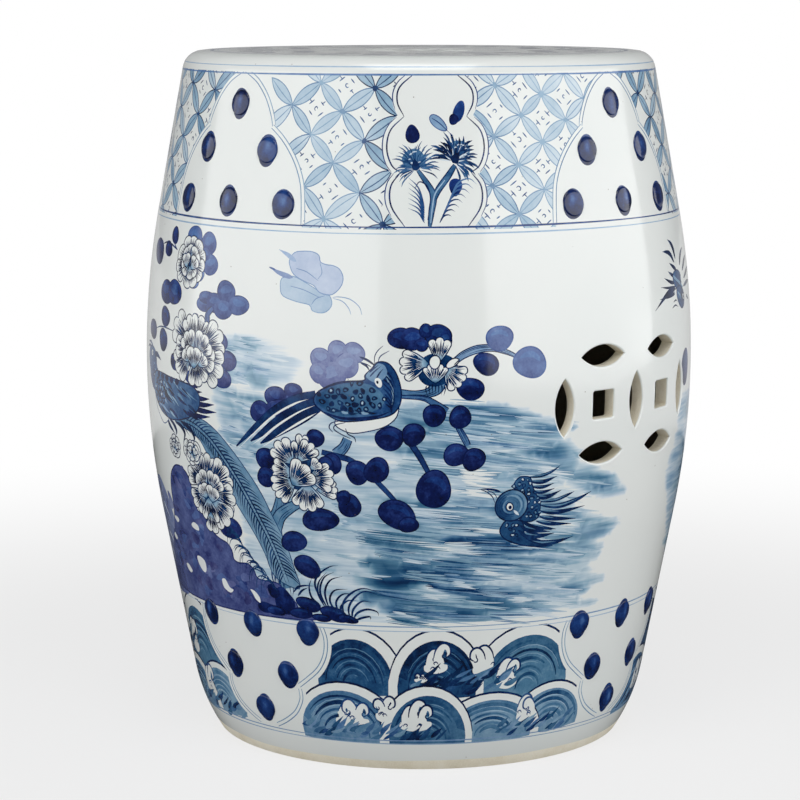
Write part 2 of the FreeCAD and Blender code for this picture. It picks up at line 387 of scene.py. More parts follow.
def oval(centre, length, width, angle, point=0.25, steps=20):
    """An egg shape, its narrow end along the angle."""
    t = np.linspace(0, 2 * math.pi, steps, endpoint=False)
    x = np.cos(t) * length / 2
    y = np.sin(t) * width / 2 * (1 - point * np.cos(t))
    return turned(np.stack((x, y), 1), angle) + centre


def thistle(art, centre, size, angle, rng, tone=0.8, claws=False):
    """A flower seen from the side: a shaded ball under a burst of long curved petals."""
    art.shape(blob(centre[0] / DEGREE, centre[1], size * 1.15, size, 0, rng, 0.1), 0.56, 0.12)
    ahead = heading(angle)
    cup = centre - ahead * size * 0.5
    petal_width = size * (0.115 if claws else 0.075)
    for reach, count, limit in ((1.25, 20, 118), (1.02, 18, 108), (0.76, 14, 90)):
        for index in range(count):
            spread = (index / (count - 1) * 2 - 1) * limit + rng.uniform(-6, 6)
            out = heading(angle + spread)
            curl = turned(out, 55 if spread > 0 else -55)
            far = size * reach * rng.uniform(0.82, 1.08) * (1 - 0.1 * abs(spread) / 90)
            near = rng.uniform(0.1, 0.36)
            path = [cup + out * far * near, cup + out * far * 0.8, cup + out * far + curl * far * 0.16]
            art.flick(
                path, petal_width * rng.uniform(0.8, 1.2), tone * rng.uniform(0.75, 1.12), 0.2, steps=3,
                head=0.5
            )
            if claws and index % 2:
                art.flick(np.array(path[:2]) + curl * 0.7, 0.8, 0.12, 0.2, steps=3)
    for index in range(10):
        start = centre + turned((size * 0.3, 0), angle + rng.uniform(-150, 150))
        art.flick([start, start + (0.8, 0.6), start + (1.8, 0.4)], 0.7, 0.15, 0.2, steps=2)
    heart = [cup - ahead * size * 0.1, cup + ahead * size * 0.2, cup + ahead * size * 0.5]
    art.flick(heart, size * 0.42, min(0.96, tone * 1.15), 0.25)


def sprig(art, centre, seed):
    """A forked stem with two thistle heads, buds, leaves and grass, inside a cartouche."""
    rng = random.Random(seed)

    def spot(degrees, height):
        return at(centre + degrees, height)

    stem = [spot(-1.4, 354), spot(-1.0, 363), spot(-0.6, 371), spot(-1.2, 377), spot(-3.8, 388)]
    fork = [spot(-0.8, 368), spot(0.4, 376), spot(2.4, 384), spot(4.0, 391)]
    for width, hue, tones in ((4.6, 0.3, (0.9, 0.9)), (3.0, 0.15, (0.6, 0.66))):
        art.line(stem, width, tones[0], hue, 0.5)
        art.line(fork, width, tones[1], hue, 0.6)
    art.line([spot(-1.2, 356), spot(-0.8, 366), spot(-0.2, 374), spot(1.8, 382)], 0.9, 0.3, 0.3, 0.5)
    art.line(
        [spot(-4.4, 377), spot(-3.4, 381), spot(-1.8, 378), spot(-1.2, 370), spot(-1.8, 358)], 0.9, 0.85,
        0.4
    )
    thistle(art, spot(-4.6, 395), 12.5, 104, rng, 0.76)
    thistle(art, spot(5.0, 399), 13.5, 55, rng, 0.9, claws=True)
    art.shape(oval(spot(-5.0, 410), 11.5, 9.5, 100), 0.92, 0.6)
    art.shape(oval(spot(5.1, 423.5), 14, 7.5, 68, 0.1), 0.85, 0.45, (spot(4, 417), spot(6, 430), 0.7))
    art.shape(oval(spot(3.9, 418.5), 7, 6.5, 240, 0.2), 0.97, 0.6)
    art.outlined(oval(spot(0.6, 416.5), 14, 6.5, -38, 0.15), 0.6, 0.4, 0.7, 0.3)
    art.line([spot(-0.8, 419.5), spot(0.8, 416.5), spot(2.8, 411)], 0.7, 0.8, 0.4)
    art.shape(oval(spot(4.0, 377.5), 11, 8.5, 265, 0.3), 0.92, 0.5, (spot(3, 372), spot(5, 384), 0.7))
    art.line([spot(2.8, 411), spot(3.8, 408.5)], 0.6, 0.7, steps=2)
    for index in range(8):
        foot = spot(0.6 + 0.25 * index, 356 + 1.4 * index)
        lift = 5 + 1.7 * index
        reach = 7 + 1.5 * index
        blade = [
            foot, foot + (reach * 0.35, lift * 0.8), foot + (reach * 0.8, lift),
            foot + (reach * 1.1, lift * 0.8),
        ]
        art.flick(blade, 1.1, 0.84 - 0.04 * index, 0.3)
    for index in range(7):
        foot = spot(-2.4, 356 + 1.5 * index)
        art.flick([foot, foot + (-3.8, 6 + index), foot + (-10.5, 9 + 1.6 * index)], 1.1, 0.72, 0.28)


def boss_places(layout):
    """The angle and height of every boss of a band: a row of three, two and one on each lappet."""
    angles, heights, spreads = layout
    for height, spread, count in zip(heights, spreads, BOSS_ROWS):
        for angle in angles:
            for index in range(count):
                side = 0.0 if count == 1 else 2 * index / (count - 1) - 1
                yield angle + side * spread - VIEW_TURN, height


def boss_dabs(art):
    """The blue dabs that the raised bosses sit in, a little taller than the bosses and uneven."""
    rng = random.Random(70)
    for layout in (UPPER_BOSSES, LOWER_BOSSES):
        for degrees, height in boss_places(layout):
            dab = blob(degrees, height - rng.uniform(0.2, 0.7), 16.4, rng.uniform(18.6, 20.0),
                       rng.uniform(-8, 8), rng, 0.03)
            art.shape(dab, 0.7, BOSS_HUE, (dab.max(0), dab.min(0), 0.95))


def upper_band(art):
    """The band under the seat: a net behind the lappets, with a cartouche and a sprig in each gap."""
    for index, net in enumerate(NETS):
        lattice(art, *net, seed=40 + index)
    for centre, tone in zip(UPPER_LAPPETS, UPPER_LAPPET_TONES):
        lappet(art, centre, tone, UPPER_LAPPET_ARCS, 1)
    for index, centre in enumerate(GAP_CENTRES):
        cartouche(art, centre, 0.9)
        sprig(art, centre, 60 + index)
    # The net runs a little over both edges before the ring lines close the band.
    art.bare(SEAT_LINES[0] + 1.0, STOOL_HEIGHT)
    art.bare(BAND_LOW - 30, BAND_LOW - 1.5)
    art.ring(SEAT_LINES[0], 0.9, 0.62, 0.35)
    art.ring(SEAT_LINES[1], 0.7, 0.22, 0.3)
    art.ring(BAND_LOW, 1.2, 0.72, 0.4)
    art.ring(BAND_LOW - 4, 0.9, 0.3, 0.35)


# The lower band: rows of sea waves under foam, and pointed lappets that hang down.
FOAM_EDGE = (
    (-1.0, -0.75), (-1.04, -0.35), (-0.78, -0.2), (-0.92, 0.12), (-0.7, 0.3), (-0.42, 0.12), (-0.2, 0.3),
    (0.06, 0.1), (0.3, 0.26), (0.62, 0.1), (0.7, -0.2), (1.02, -0.3), (0.95, -0.7), (0.3, -0.95),
    (-0.4, -0.95),
)
CLAW_PATH = ((-0.1, 0.0), (-0.16, 0.35), (-0.08, 0.72), (0.18, 0.98), (0.5, 0.9), (0.6, 0.6), (0.46, 0.42))
CLAW_HOOK = ((0, 0), (-0.1, -0.14), (-0.3, -0.1), (-0.32, 0.08), (-0.2, 0.16))
FIRST_WAVE = 22.5


def fan(art, left, right, low, high, tone, rng, hue=0.1, lean=0.0):
    """A wave: a dark arc, a white gap, and a domed wash crossed by broad, uneven arcs."""
    centre = at((left + right) / 2, low)
    half = np.array(((right - left) / 2 * DEGREE, high - low))

    def arc(scale, start=2.0, end=178.0, count=16, shift=0.0):
        t = np.radians(np.linspace(end, start, count))
        bulge = np.stack((np.cos(t) + (lean + shift) * (1 - scale), np.sin(t)), 1)
        return centre + bulge * half * scale

    art.shape(np.vstack((arc(1.0, -4, 184), arc(1.0)[-1:] - (0, 8), arc(1.0)[:1] - (0, 8))), 0.0)
    curve = arc(1.0, rng.uniform(2, 16), rng.uniform(150, 170))
    art.shape(ribbon(curve, 1.5 * (0.3 + 0.7 * swelling(curve, 0, math.pi) ** 0.6)), 0.94, 0.3)
    rim = 0.83 + rng.uniform(-0.02, 0.02)
    dome = np.vstack((arc(rim, -8, 188), centre - (0, 6)))
    ends = (centre + (-half[0], 0), centre + (half[0], half[1]))
    art.shape(dome, tone * 0.95, hue, (*ends, tone * rng.uniform(0.92, 1.2)))
    thick = arc(rim, rng.uniform(8, 30), rng.uniform(150, 176))
    thin = arc(rim - 0.17, 20, 165)[::-1]
    fade = (*ends, min(0.95, tone * rng.uniform(1.0, 1.35)))
    art.shape(np.vstack((thick, thin)), min(0.94, tone * 1.16), hue, fade)
    scale = rim - 0.1
    while scale > 0.2:
        stretch = arc(scale, rng.uniform(-6, 50), rng.uniform(135, 184), 14, rng.uniform(-0.12, 0.12))
        press = rng.uniform(1.6, 3.4) * (0.25 + 0.75 * swelling(stretch, 0.1))
        level = min(0.95, tone + rng.uniform(0.14, 0.46))
        art.shape(
            ribbon(stretch, press), level, hue, (stretch[0], stretch[-1], level * rng.uniform(0.7, 1.0))
        )
        pale = arc(scale - 0.055, rng.uniform(10, 70), rng.uniform(85, 160), 8)
        art.shape(ribbon(pale, rng.uniform(0.4, 1.0) * swelling(pale)), tone * 0.7, hue)
        scale -= rng.uniform(0.09, 0.14)


def claw(art, foot, tall, side, tone, rng):
    """One white finger of foam that rises and hooks over to a side, with a dark line over its back."""
    curve = smooth(foot + np.array(CLAW_PATH) * (side * tall * 0.8, tall), 4)
    t = np.linspace(0, 1, len(curve))
    width = np.interp(t, (0, 0.35, 0.6, 0.85, 1), (0.62, 0.46, 0.34, 0.2, 0.05)) * tall
    art.shape(ribbon(curve, width), 0.0)
    back = curve + sideways(curve) * side * (width / 2)[:, None]
    run = back[int(len(back) * rng.uniform(0.15, 0.35)):]
    art.shape(ribbon(run, 1.5 * (0.3 + 0.7 * swelling(run, 0.2, 2.8))), tone, 0.3)
    hook = curve[-1] + (0.0, 0.2) + np.array(CLAW_HOOK) * (side * tall, tall) * 0.8
    art.line(hook, 0.9, tone, 0.3, steps=3)


def foam(art, degrees, height, wide, tall, rng, flip=1, tone=0.9):
    """A ragged white crest with claws that hook over, and small curls under them."""
    scale = np.array((flip * wide / 2, tall / 2))
    middle = at(degrees, height)
    art.shape(anticlockwise(smooth(np.array(FOAM_EDGE) * scale + middle, 4, closed=True)), 0.0)
    count = max(2, round(wide / 7.5))
    for index in range(count):
        across = 2 * (index + 0.5) / count - 1
        foot = middle + scale * (across * 0.8, rng.uniform(-0.5, -0.2))
        claw(art, foot, tall * rng.uniform(0.5, 0.78), flip if rng.random() < 0.75 else -flip, tone, rng)
    for index in range(3):
        start = middle + scale * (rng.uniform(-0.9, 0.6), rng.uniform(-0.7, -0.1))
        bend = flip * rng.choice((1, -1))
        curl = [start, start + (1.4 * bend, 1.6), start + (3.2 * bend, 1.0), start + (2.6 * bend, -0.4)]
        art.line(curl, 0.9, tone * 0.95, 0.3, steps=3)


def swash(art, left, right, low, high, tone, rng, count):
    """Slanted strokes of broken water along the foot of the waves."""
    for index in range(count):
        start = at(left + (right - left) * (index + rng.random()) / count, rng.uniform(low, high))
        run = np.array((rng.uniform(8, 15), rng.uniform(5, 9.5)))
        middle = start + run / 2 + (0, rng.uniform(-1.8, 0.2))
        art.flick(
            [start, middle, start + run], rng.uniform(2.0, 4.4), min(0.96, tone * rng.uniform(0.6, 1.45)),
            rng.uniform(0.05, 0.3), head=0.4
        )


def wave_panel(art, left, seed):
    """The waves between two hanging lappets: two rows, the upper one first, each under its own foam."""
    rng = random.Random(seed)

    def broken(start, end, *rest):
        swash(art, left + start, left + end, *rest)

    def waves(*rows):
        for start, end, low, high, tone, hue, lean in rows:
            fan(art, left + start, left + end, low, high, tone, rng, hue, lean)

    def crests(*rows):
        for degrees, height, wide, tall, flip, tone in rows:
            foam(art, left + degrees, height, wide, tall, rng, flip, tone)

    broken(-16, 44, 56, 66, 0.6, rng, 30)
    waves(
        (-10, 12.6, 58, 98.5, 0.74, 0.1, -0.3),
        (27.5, 55, 55, 99, 0.56, 0.04, 0.2),
        (8.6, 31, 57, 98.5, 0.82, 0.1, 0.1),
    )
    crests(
        (19.6, 77, 16, 17, 1, 0.9),
        (30.4, 74, 14, 17, -1, 0.9),
        (36.6, 66, 15, 21, 1, 0.85),
        (16.2, 66, 9, 7, -1, 0.9),
    )
    broken(13, 36, 54, 67, 0.78, rng, 34)
    waves(
        (38, 61, 27, 57, 0.4, 0.1, 0.0),
        (20, 47, 24, 54, 0.42, 0.1, 0.0),
        (-16, 11.5, 24, 61, 0.5, 0.14, -0.2),
        (6, 29, 22, 60.5, 0.65, 0.08, 0.2),
    )
    crests(
        (-0.4, 38.5, 25, 17, 1, 0.75),
        (7.4, 43, 12, 17, -1, 0.9),
        (15.0, 38, 23, 19, 1, 0.92),
        (42.5, 40, 15, 18, 1, 0.7),
    )
    broken(-15, 12, 21, 29, 0.62, rng, 30)
    broken(12, 20, 21, 27, 0.7, rng, 8)
    broken(34, 56, 21, 30, 0.6, rng, 24)


def lower_band(art):
    """The order matters: waves, then the lappets over them, then the rings that close the band."""
    for index, centre in enumerate(LOWER_LAPPETS):
        follower = LOWER_LAPPETS[(index + 1) % len(LOWER_LAPPETS)]
        middle = centre + ((follower - centre) % 360) / 2
        wave_panel(art, middle - FIRST_WAVE, 80 + index)
    for centre, tone in zip(LOWER_LAPPETS, LOWER_LAPPET_TONES):
        lappet(art, centre, tone, LOWER_LAPPET_ARCS, -1)
    art.bare(-5, BASE_LINES[1])
    art.bare(BASE_TOP_LINES[1] + 0.5, BASE_TOP_LINES[0] + 3)
    art.ring(BASE_LINES[0], 0.9, 0.42, 0.35)
    art.ring(BASE_LINES[1], 0.8, 0.34, 0.35)
    art.ring(BASE_TOP_LINES[0], 0.9, 0.38, 0.35)
    art.ring(BASE_TOP_LINES[1], 0.7, 0.24, 0.35)


# Things that grow and fly in the main scene. Sizes are in millimetres on the flat drawing.
# The painted highlight of a round leaf: a paler, greener patch near its top, as shares of its width and
# height.
LEAF_HIGHLIGHT = (
    (-0.34, 0.08), (-0.24, 0.27), (0.02, 0.36), (0.26, 0.25), (0.3, 0.08), (0.06, 0.16), (-0.16, 0.14),
)
LOBE_STEPS = 8


def seeded(degrees, height):
    """A random source that belongs to one place, so a motif keeps its shape when others move."""
    return random.Random(round(degrees * 10) * 7919 + round(height * 10))


def blob(degrees, height, wide, tall, turn, rng, rough=0.05):
    """A round brush blot, a little uneven."""
    t = np.radians(np.arange(0, 360, 15))
    a, b = rng.uniform(0, 6), rng.uniform(0, 6)
    swell = 1 + rough * np.sin(2 * t + a) + rough * 0.7 * np.sin(3 * t + b)
    outline = np.stack((np.cos(t) * wide / 2 * swell, np.sin(t) * tall / 2 * swell), 1)
    return turned(smooth(outline, 2, closed=True), turn) + at(degrees, height)


def round_leaf(art, degrees, height, wide, tall, turn=0.0, tone=0.9, hue=0.62):
    """A dense round leaf, one loaded stroke: dark rim, painted shade at its foot, painted highlight on top.
    """
    outline = blob(degrees, height, wide, tall, turn, seeded(degrees, height))
    middle = at(degrees, height)
    top = middle + turned([(-wide * 0.1, tall * 0.5)], turn)[0]
    low = middle - turned([(-wide * 0.1, tall * 0.4)], turn)[0]
    # The inside is paler at the top and darker at the foot: painted shade.
    art.outlined(outline, line=0.9, tone=tone * 0.9, line_tone=min(1.0, tone + 0.06), hue=hue,
                 line_hue=0.5, fade=(top, low, min(0.98, tone + 0.03)))
    # A paler, greener patch near the top of the leaf: a painted highlight.
    painted_highlight = turned(np.array(LEAF_HIGHLIGHT) * (wide, tall), turn) + middle
    art.shape(smooth(painted_highlight, 3, closed=True), tone * 0.87, hue - 0.15)


def lobed_leaf(art, lobes, tone, hue, rim=0.12):
    """A leaf or cloud of several joined blots. lobes are (degrees, height, wide, tall)."""
    rng = seeded(lobes[0][0], lobes[0][1])
    blots = [blob(d, h, w, t, 0.0, rng, 0.04) for d, h, w, t in lobes]
    for blot in blots:
        art.shape(inset(blot, -0.55), min(1.0, tone + rim), hue - 0.08)
    for number, blot in enumerate(blots):
        level = tone * (0.93 + 0.12 * rng.random())
        top, low = blot[np.argmax(blot[:, 1])], blot[np.argmin(blot[:, 1])]
        # Each blot is paler at its top and darker at its foot: painted shade.
        art.shape(blot, level * 0.9, hue, (top, low, min(0.98, level * 1.06)))
        # A paler, greener patch a little above each blot's middle: a painted highlight.
        painted_highlight = blob(0, 0, 1, 1, 0, rng, 0.14) * ((blot.max(0) - blot.min(0)) * (0.56, 0.4)) + blot.mean(0)
        art.shape(painted_highlight + (0, 0.12 * (blot[:, 1].max() - blot[:, 1].min())), level * 0.86, hue - 0.12)
        if number:
            edge = blot[(np.arange(6) + int(rng.uniform(0, len(blot)))) % len(blot)]
            art.shape(ribbon(edge, 0.8 * swelling(edge, 0.3, 2.8)), min(1.0, tone + rim), hue)


def branch(art, points, widths, tone=0.55, hue=0.2, bark=True):
    """A branch with dark edges and long streaks of bark."""
    curve = smooth(places(points), 5)
    t = np.linspace(0, 1, len(curve))
    width = np.interp(t, np.linspace(0, 1, len(widths)), widths)
    art.shape(ribbon(curve, width + 0.9), 0.92, 0.35)
    art.shape(ribbon(curve, np.maximum(width - 0.5, 0.2)), tone, hue)
    if bark:
        side = sideways(curve)
        rng = seeded(*points[0])
        for offset in (-0.25, 0.12, 0.3):
            first = int(rng.uniform(0, len(curve) * 0.4))
            last = int(rng.uniform(len(curve) * 0.55, len(curve)))
            if last - first > 3:
                run = curve[first:last] + side[first:last] * (width[first:last] * offset)[:, None]
                art.shape(ribbon(run, 0.55 * swelling(run)), 0.85, 0.35)


def fan_petal(art, base, angle, reach, half, lobes, rng, shade=0.62, dark=0.92):
    """A petal that opens from its base to a rim of rounded lobes, combed with dark lines out of a shaded
    base. half is half its opening, in degrees."""
    base = np.asarray(base, float)
    steps = LOBE_STEPS * lobes
    t = np.linspace(-1, 1, steps + 1)
    lobe = np.minimum((np.arange(steps + 1) // LOBE_STEPS), lobes - 1)
    sizes = np.array([rng.uniform(0.85, 1.15) for _ in range(lobes)])
    bump = np.abs(np.sin(lobes * math.pi * (t + 1) / 2)) ** 0.55 * sizes[lobe]
    swing = np.radians(angle + t * half)
    length = reach * (0.82 + 0.05 * np.cos(t * math.pi / 2) + 0.12 * bump)
    rim = base + np.stack((np.cos(swing), np.sin(swing)), 1) * length[:, None]
    left = [base + heading(angle - half * wide) * reach * far for wide, far in ((1.35, 0.2), (1.14, 0.5))]
    right = [base + heading(angle + half * wide) * reach * far for wide, far in ((1.14, 0.5), (1.35, 0.2))]
    outline = np.vstack([base] + left + [rim] + right)
    art.outlined(outline, 0.75, shade, dark, 0.12, 0.2, (base, base + heading(angle) * reach * 0.43, 0.0))
    count = max(6, round(half * reach / 36))
    for index in range(count):
        share = (index + 0.5) / count * 2 - 1 + rng.uniform(-0.03, 0.03)
        out = heading(angle + share * half)
        far = reach * rng.uniform(0.7, 0.95) * (1 - 0.08 * share * share)
        near = reach * (0.22 if index % 2 else 0.4)
        art.flick([base + out * near, base + out * (near + far) / 2, base + out * far],
                  min(0.8, reach * 0.047) * rng.uniform(0.85, 1.2), dark, 0.18, steps=3, head=0.4)
    for index in range(1, lobes):
        out = heading(angle + (2 * index / lobes - 1) * half) * reach
        art.flick([base + out * 0.84, base + out * 0.7, base + out * 0.56], 0.7, dark, 0.2, steps=2)


def peony(art, degrees, height, petals, seed):
    """A peony painted petal by petal. petals are (x, y, angle, reach, half, lobes), the back ones first."""
    rng = random.Random(seed)
    middle = at(degrees, height)
    core = np.mean([petal_row[:2] for petal_row in petals], 0) + middle
    art.shape(blob(core[0] / DEGREE, core[1], 24, 21, 0, rng), 0.84, 0.15)
    for x, y, angle, reach, half, lobes in petals:
        fan_petal(art, middle + (x, y), angle, reach, half, lobes, rng)


def full_peony(art, degrees, height, wide, tall, seed, outer=7, inner=4):
    """A round peony: a ring of outer petals, a ring of inner ones, and a cupped heart."""
    rng = random.Random(seed)
    middle = at(degrees, height)
    half_size = np.array((wide / 2, tall / 2))
    art.shape(blob(degrees, height, wide * 0.55, tall * 0.55, 0, rng), 0.78, 0.15)
    for count, size, first in ((outer, 1.0, 95), (inner, 0.68, 120)):
        order = sorted(range(count), key=lambda index: abs((index * 360 / count + 540) % 360 - 180))
        for index in order:
            angle = first + index * 360 / count + rng.uniform(-9, 9)
            out = heading(angle) * half_size * size
            reach = np.linalg.norm(out) * rng.uniform(0.92, 1.1)
            start = middle + out * 0.14
            spread = math.degrees(math.atan(math.pi / count / 0.8)) * 1.15
            fan_petal(
                art, start, angle, reach * 0.88, spread * rng.uniform(0.9, 1.25), rng.choice((1, 2, 2)), rng
            )
    heart_reach = half_size.mean() * 0.58
    for x, y, angle, half in ((-0.2, -0.22, 104, 40), (0.12, -0.26, 56, 42)):
        fan_petal(art, middle + half_size * (x, y), angle, heart_reach, half, 2, rng, shade=0.5)


def scattered(region, spacing, stray, rng):
    """Places in staggered rows inside an outline, each moved at random by up to stray."""
    low, high = region.min(0), region.max(0)
    row = 0
    y = low[1]
    while y < high[1]:
        x = low[0] + (spacing / 2 if row % 2 else 0.0)
        while x < high[0]:
            spot = np.array((x, y)) + (rng.uniform(-stray, stray), rng.uniform(-stray, stray))
            if winding(spot[None], region)[0]:
                yield spot
            x += spacing
        y += spacing * 0.8
        row += 1


def scales(art, region, spacing, tone, rng, dark=0.93, size=1.0):
    """Feather scales: dark crescents over the inside of an outline."""
    for spot in scattered(region, spacing, 0.5, rng):
        r = spacing * 0.46 * size * rng.uniform(0.8, 1.15)
        t = np.radians(np.linspace(200, 400, 7) + rng.uniform(-25, 25))
        curl = spot + np.stack((np.cos(t), np.sin(t)), 1) * r
        art.shape(ribbon(curl, 0.35 + 1.0 * swelling(curl)), dark, 0.4)
        if rng.random() < 0.4:
            dot = blob(0, 0, r * rng.uniform(0.5, 0.9), r * 0.6, 0, rng) + spot
            art.shape(dot, tone * rng.choice((0.35, 0.7, 1.3, 1.8)), 0.2)


def mottle(art, region, spacing, rng, dark=0.94, pale=0.3, heart=0.5):
    """Uneven spots of dark paint with pale hearts, as on the shoulder of a wing."""
    for spot in scattered(region, spacing, 0.9, rng):
        wide, tall = spacing * rng.uniform(0.6, 0.95), spacing * rng.uniform(0.5, 0.8)
        turn = rng.uniform(0, 180)
        art.shape(blob(spot[0] / DEGREE, spot[1], wide, tall, turn, rng, 0.12), dark, 0.25)
        level = pale * rng.choice((0.5, 0.9, 1.3, 2.0))
        shift = (rng.uniform(-0.3, 0.3), rng.uniform(-0.3, 0.3))
        art.shape(blob(0, 0, wide * heart, tall * heart, turn, rng, 0.15) + spot + shift, level, 0.1)


def plume(art, points, width, tone, hue=0.3, dark=0.9):
    """A long feather: a tapering body between two dark edges."""
    curve = smooth(places(points), 6)
    t = np.linspace(0, 1, len(curve))
    body = width * np.maximum(np.sin(math.pi * (0.25 + 0.75 * t)), 0.04) ** 0.8
    art.shape(ribbon(curve, body + 0.7), dark, 0.4)
    art.shape(ribbon(curve, np.maximum(body - 0.6, 0.1)), tone, hue)


def eye(art, white, pupil, rng, rough=0.05):
    """A bird's eye: a white with a dark rim, and its pupil, each as (degrees, height, wide, tall, turn)."""
    art.outlined(blob(*white, rng, rough), 0.7, 0.0, 0.95)
    art.shape(blob(*pupil, rng, rough), 0.97, 0.5)


def sweep(art, start, length, width, tone, rng, hue, fall):
    """One pass of a broad, half dry brush, its hairs ending unevenly."""
    hairs = max(3, round(width / 1.2))
    for index in range(hairs):
        across = (index + 0.5) / hairs - 0.5
        first = rng.uniform(0, 0.12) + 0.1 * abs(across)
        last = 1 - rng.uniform(0, 0.34) - 0.2 * abs(across)
        if rng.random() < 0.35:
            last = first + (last - first) * rng.uniform(0.3, 0.7)
        share = np.linspace(first, last, 6)
        line = np.stack(
            (share * length, across * width - fall * length * share + 0.5 * np.sin(share * 5 + index)), 1
        )
        swell = np.array((0.25, 0.8, 1.0, 1.0, 0.8, 0.2)) * width / hairs * rng.uniform(0.4, 1.3)
        level = tone * rng.uniform(0.6, 1.25)
        curve = line + start
        art.shape(ribbon(curve, swell), level, hue, (curve[0], curve[-1], level * rng.uniform(0.45, 0.9)))


def sweeps(art, region, count, tone, seed, widths, lengths, fall=0.06, hue=0.1):
    """Broad passes of the brush that start inside (left, right, low, high), in rows from the top down."""
    rng = random.Random(seed)
    left, right, low, high = region
    for index in range(count):
        height = high - (high - low) * (index + rng.random()) / count
        start = at(rng.uniform(left, right), height)
        sweep(art, start, rng.uniform(*lengths), rng.uniform(*widths), tone * rng.uniform(0.65, 1.35), rng,
              hue + rng.uniform(-0.1, 0.08), fall + rng.uniform(-0.02, 0.03))


def soft_streaks(art, region, count, tone, seed, widths, lengths, fall=0.08):
    """Long wet streaks with soft edges that start inside (left, right, low, high)."""
    rng = random.Random(seed)
    left, right, low, high = region
    share = np.linspace(0, 1, 9)
    for index in range(count):
        start = at(rng.uniform(left, right), high - (high - low) * (index + rng.random()) / count)
        length, width = rng.uniform(*lengths), rng.uniform(*widths)
        middle = start + np.stack((share * length, -fall * length * share), 1)
        outline = ribbon(middle, width * np.maximum(np.sin(math.pi * share), 0.08))
        art.wash(outline, tone * rng.uniform(0.7, 1.3), width * 0.55, rng.uniform(0.0, 0.12))


# The water: washes as (outline, tone, feather, hue), wet streaks as (where they start, how many, tone, seed,
# widths, lengths, fall) and dry strokes the same way with a hue at the end.
WATER_WASHES = (
    (((-44, 281), (-36, 283), (-27, 279), (-23, 268), (-26, 256), (-34, 252), (-43, 254)), 0.14, 6.0, 0.15),
    (((-47, 250), (-34, 252), (-20, 236), (-6, 247), (4, 246), (14, 240), (20, 233), (24, 227),
      (27, 218), (28, 205), (29, 196), (30, 185), (30, 172), (30, 158), (29, 142), (27, 130),
      (26, 117), (24, 104), (20, 101.5), (0, 101.5), (-35, 101.5), (-40, 140), (-40, 200)), 0.145, 6.0, 0.1),
    (((70, 232), (90, 236), (96, 190), (92, 140), (80, 118), (70, 150), (64, 185), (68, 210)), 0.2, 8.0, 0.2),
)
WET_STREAKS = (
    ((-46, -35, 254, 280), 10, 0.3, 81, (3, 6), (16, 32)),
    ((-47, -38, 196, 249), 16, 0.3, 82, (4, 8), (18, 36)),
    ((-32, -16, 128, 198), 16, 0.26, 83, (4, 8), (20, 40)),
    ((-8, 10, 204, 246), 20, 0.44, 84, (4, 9), (36, 74), 0.12),
    ((8, 22, 204, 236), 14, 0.42, 85, (4, 8), (30, 50), 0.12),
    ((-14, 16, 168, 190), 14, 0.4, 86, (5, 9), (40, 80), 0.09),
    ((-14, 12, 108, 170), 34, 0.58, 87, (5, 11), (36, 76), 0.1),
    ((14, 32, 108, 204), 34, 0.34, 88, (4, 9), (30, 52), 0.15),
    ((68, 84, 130, 228), 18, 0.3, 89, (5, 9), (26, 50), 0.06),
)
DRY_STROKES = (
    ((-45, -33, 253, 281), 10, 0.34, 3, (3, 7), (16, 34), 0.06, 0.15),
    ((-46, -38, 196, 249), 12, 0.34, 4, (3, 7), (18, 40), 0.06, 0.15),
    ((-30, -14, 130, 196), 14, 0.36, 10, (4, 8), (20, 40)),
    ((-7, 8, 206, 247), 14, 0.42, 5, (4, 9), (34, 66), 0.14),
    ((8, 20, 200, 238), 12, 0.38, 6, (4, 8), (34, 60), 0.13),
    ((-12, 22, 150, 204), 18, 0.38, 7, (4, 9), (34, 70), 0.1),
    ((18, 31, 108, 204), 20, 0.26, 9, (3, 7), (36, 62), 0.17),
    ((-16, 8, 104, 172), 22, 0.6, 8, (5, 11), (40, 80), 0.1),
    ((4, 24, 104, 140), 9, 0.46, 14, (4, 8), (34, 60), 0.14),
    ((-12, 20, 108, 168), 9, 0.16, 12, (3, 6), (24, 50), 0.1),
    ((-1, 10, 188, 203), 6, 0.04, 13, (3.5, 6), (24, 44), 0.1),
)


def water(art):
    """Wet streaks of several depths over a pale wash, then level passes of a half dry brush."""
    for outline, tone, feather, hue in WATER_WASHES:
        art.wash(places(outline), tone, feather, hue)
    for streaks in WET_STREAKS:
        soft_streaks(art, *streaks)
    for strokes in DRY_STROKES:
        sweeps(art, *strokes)


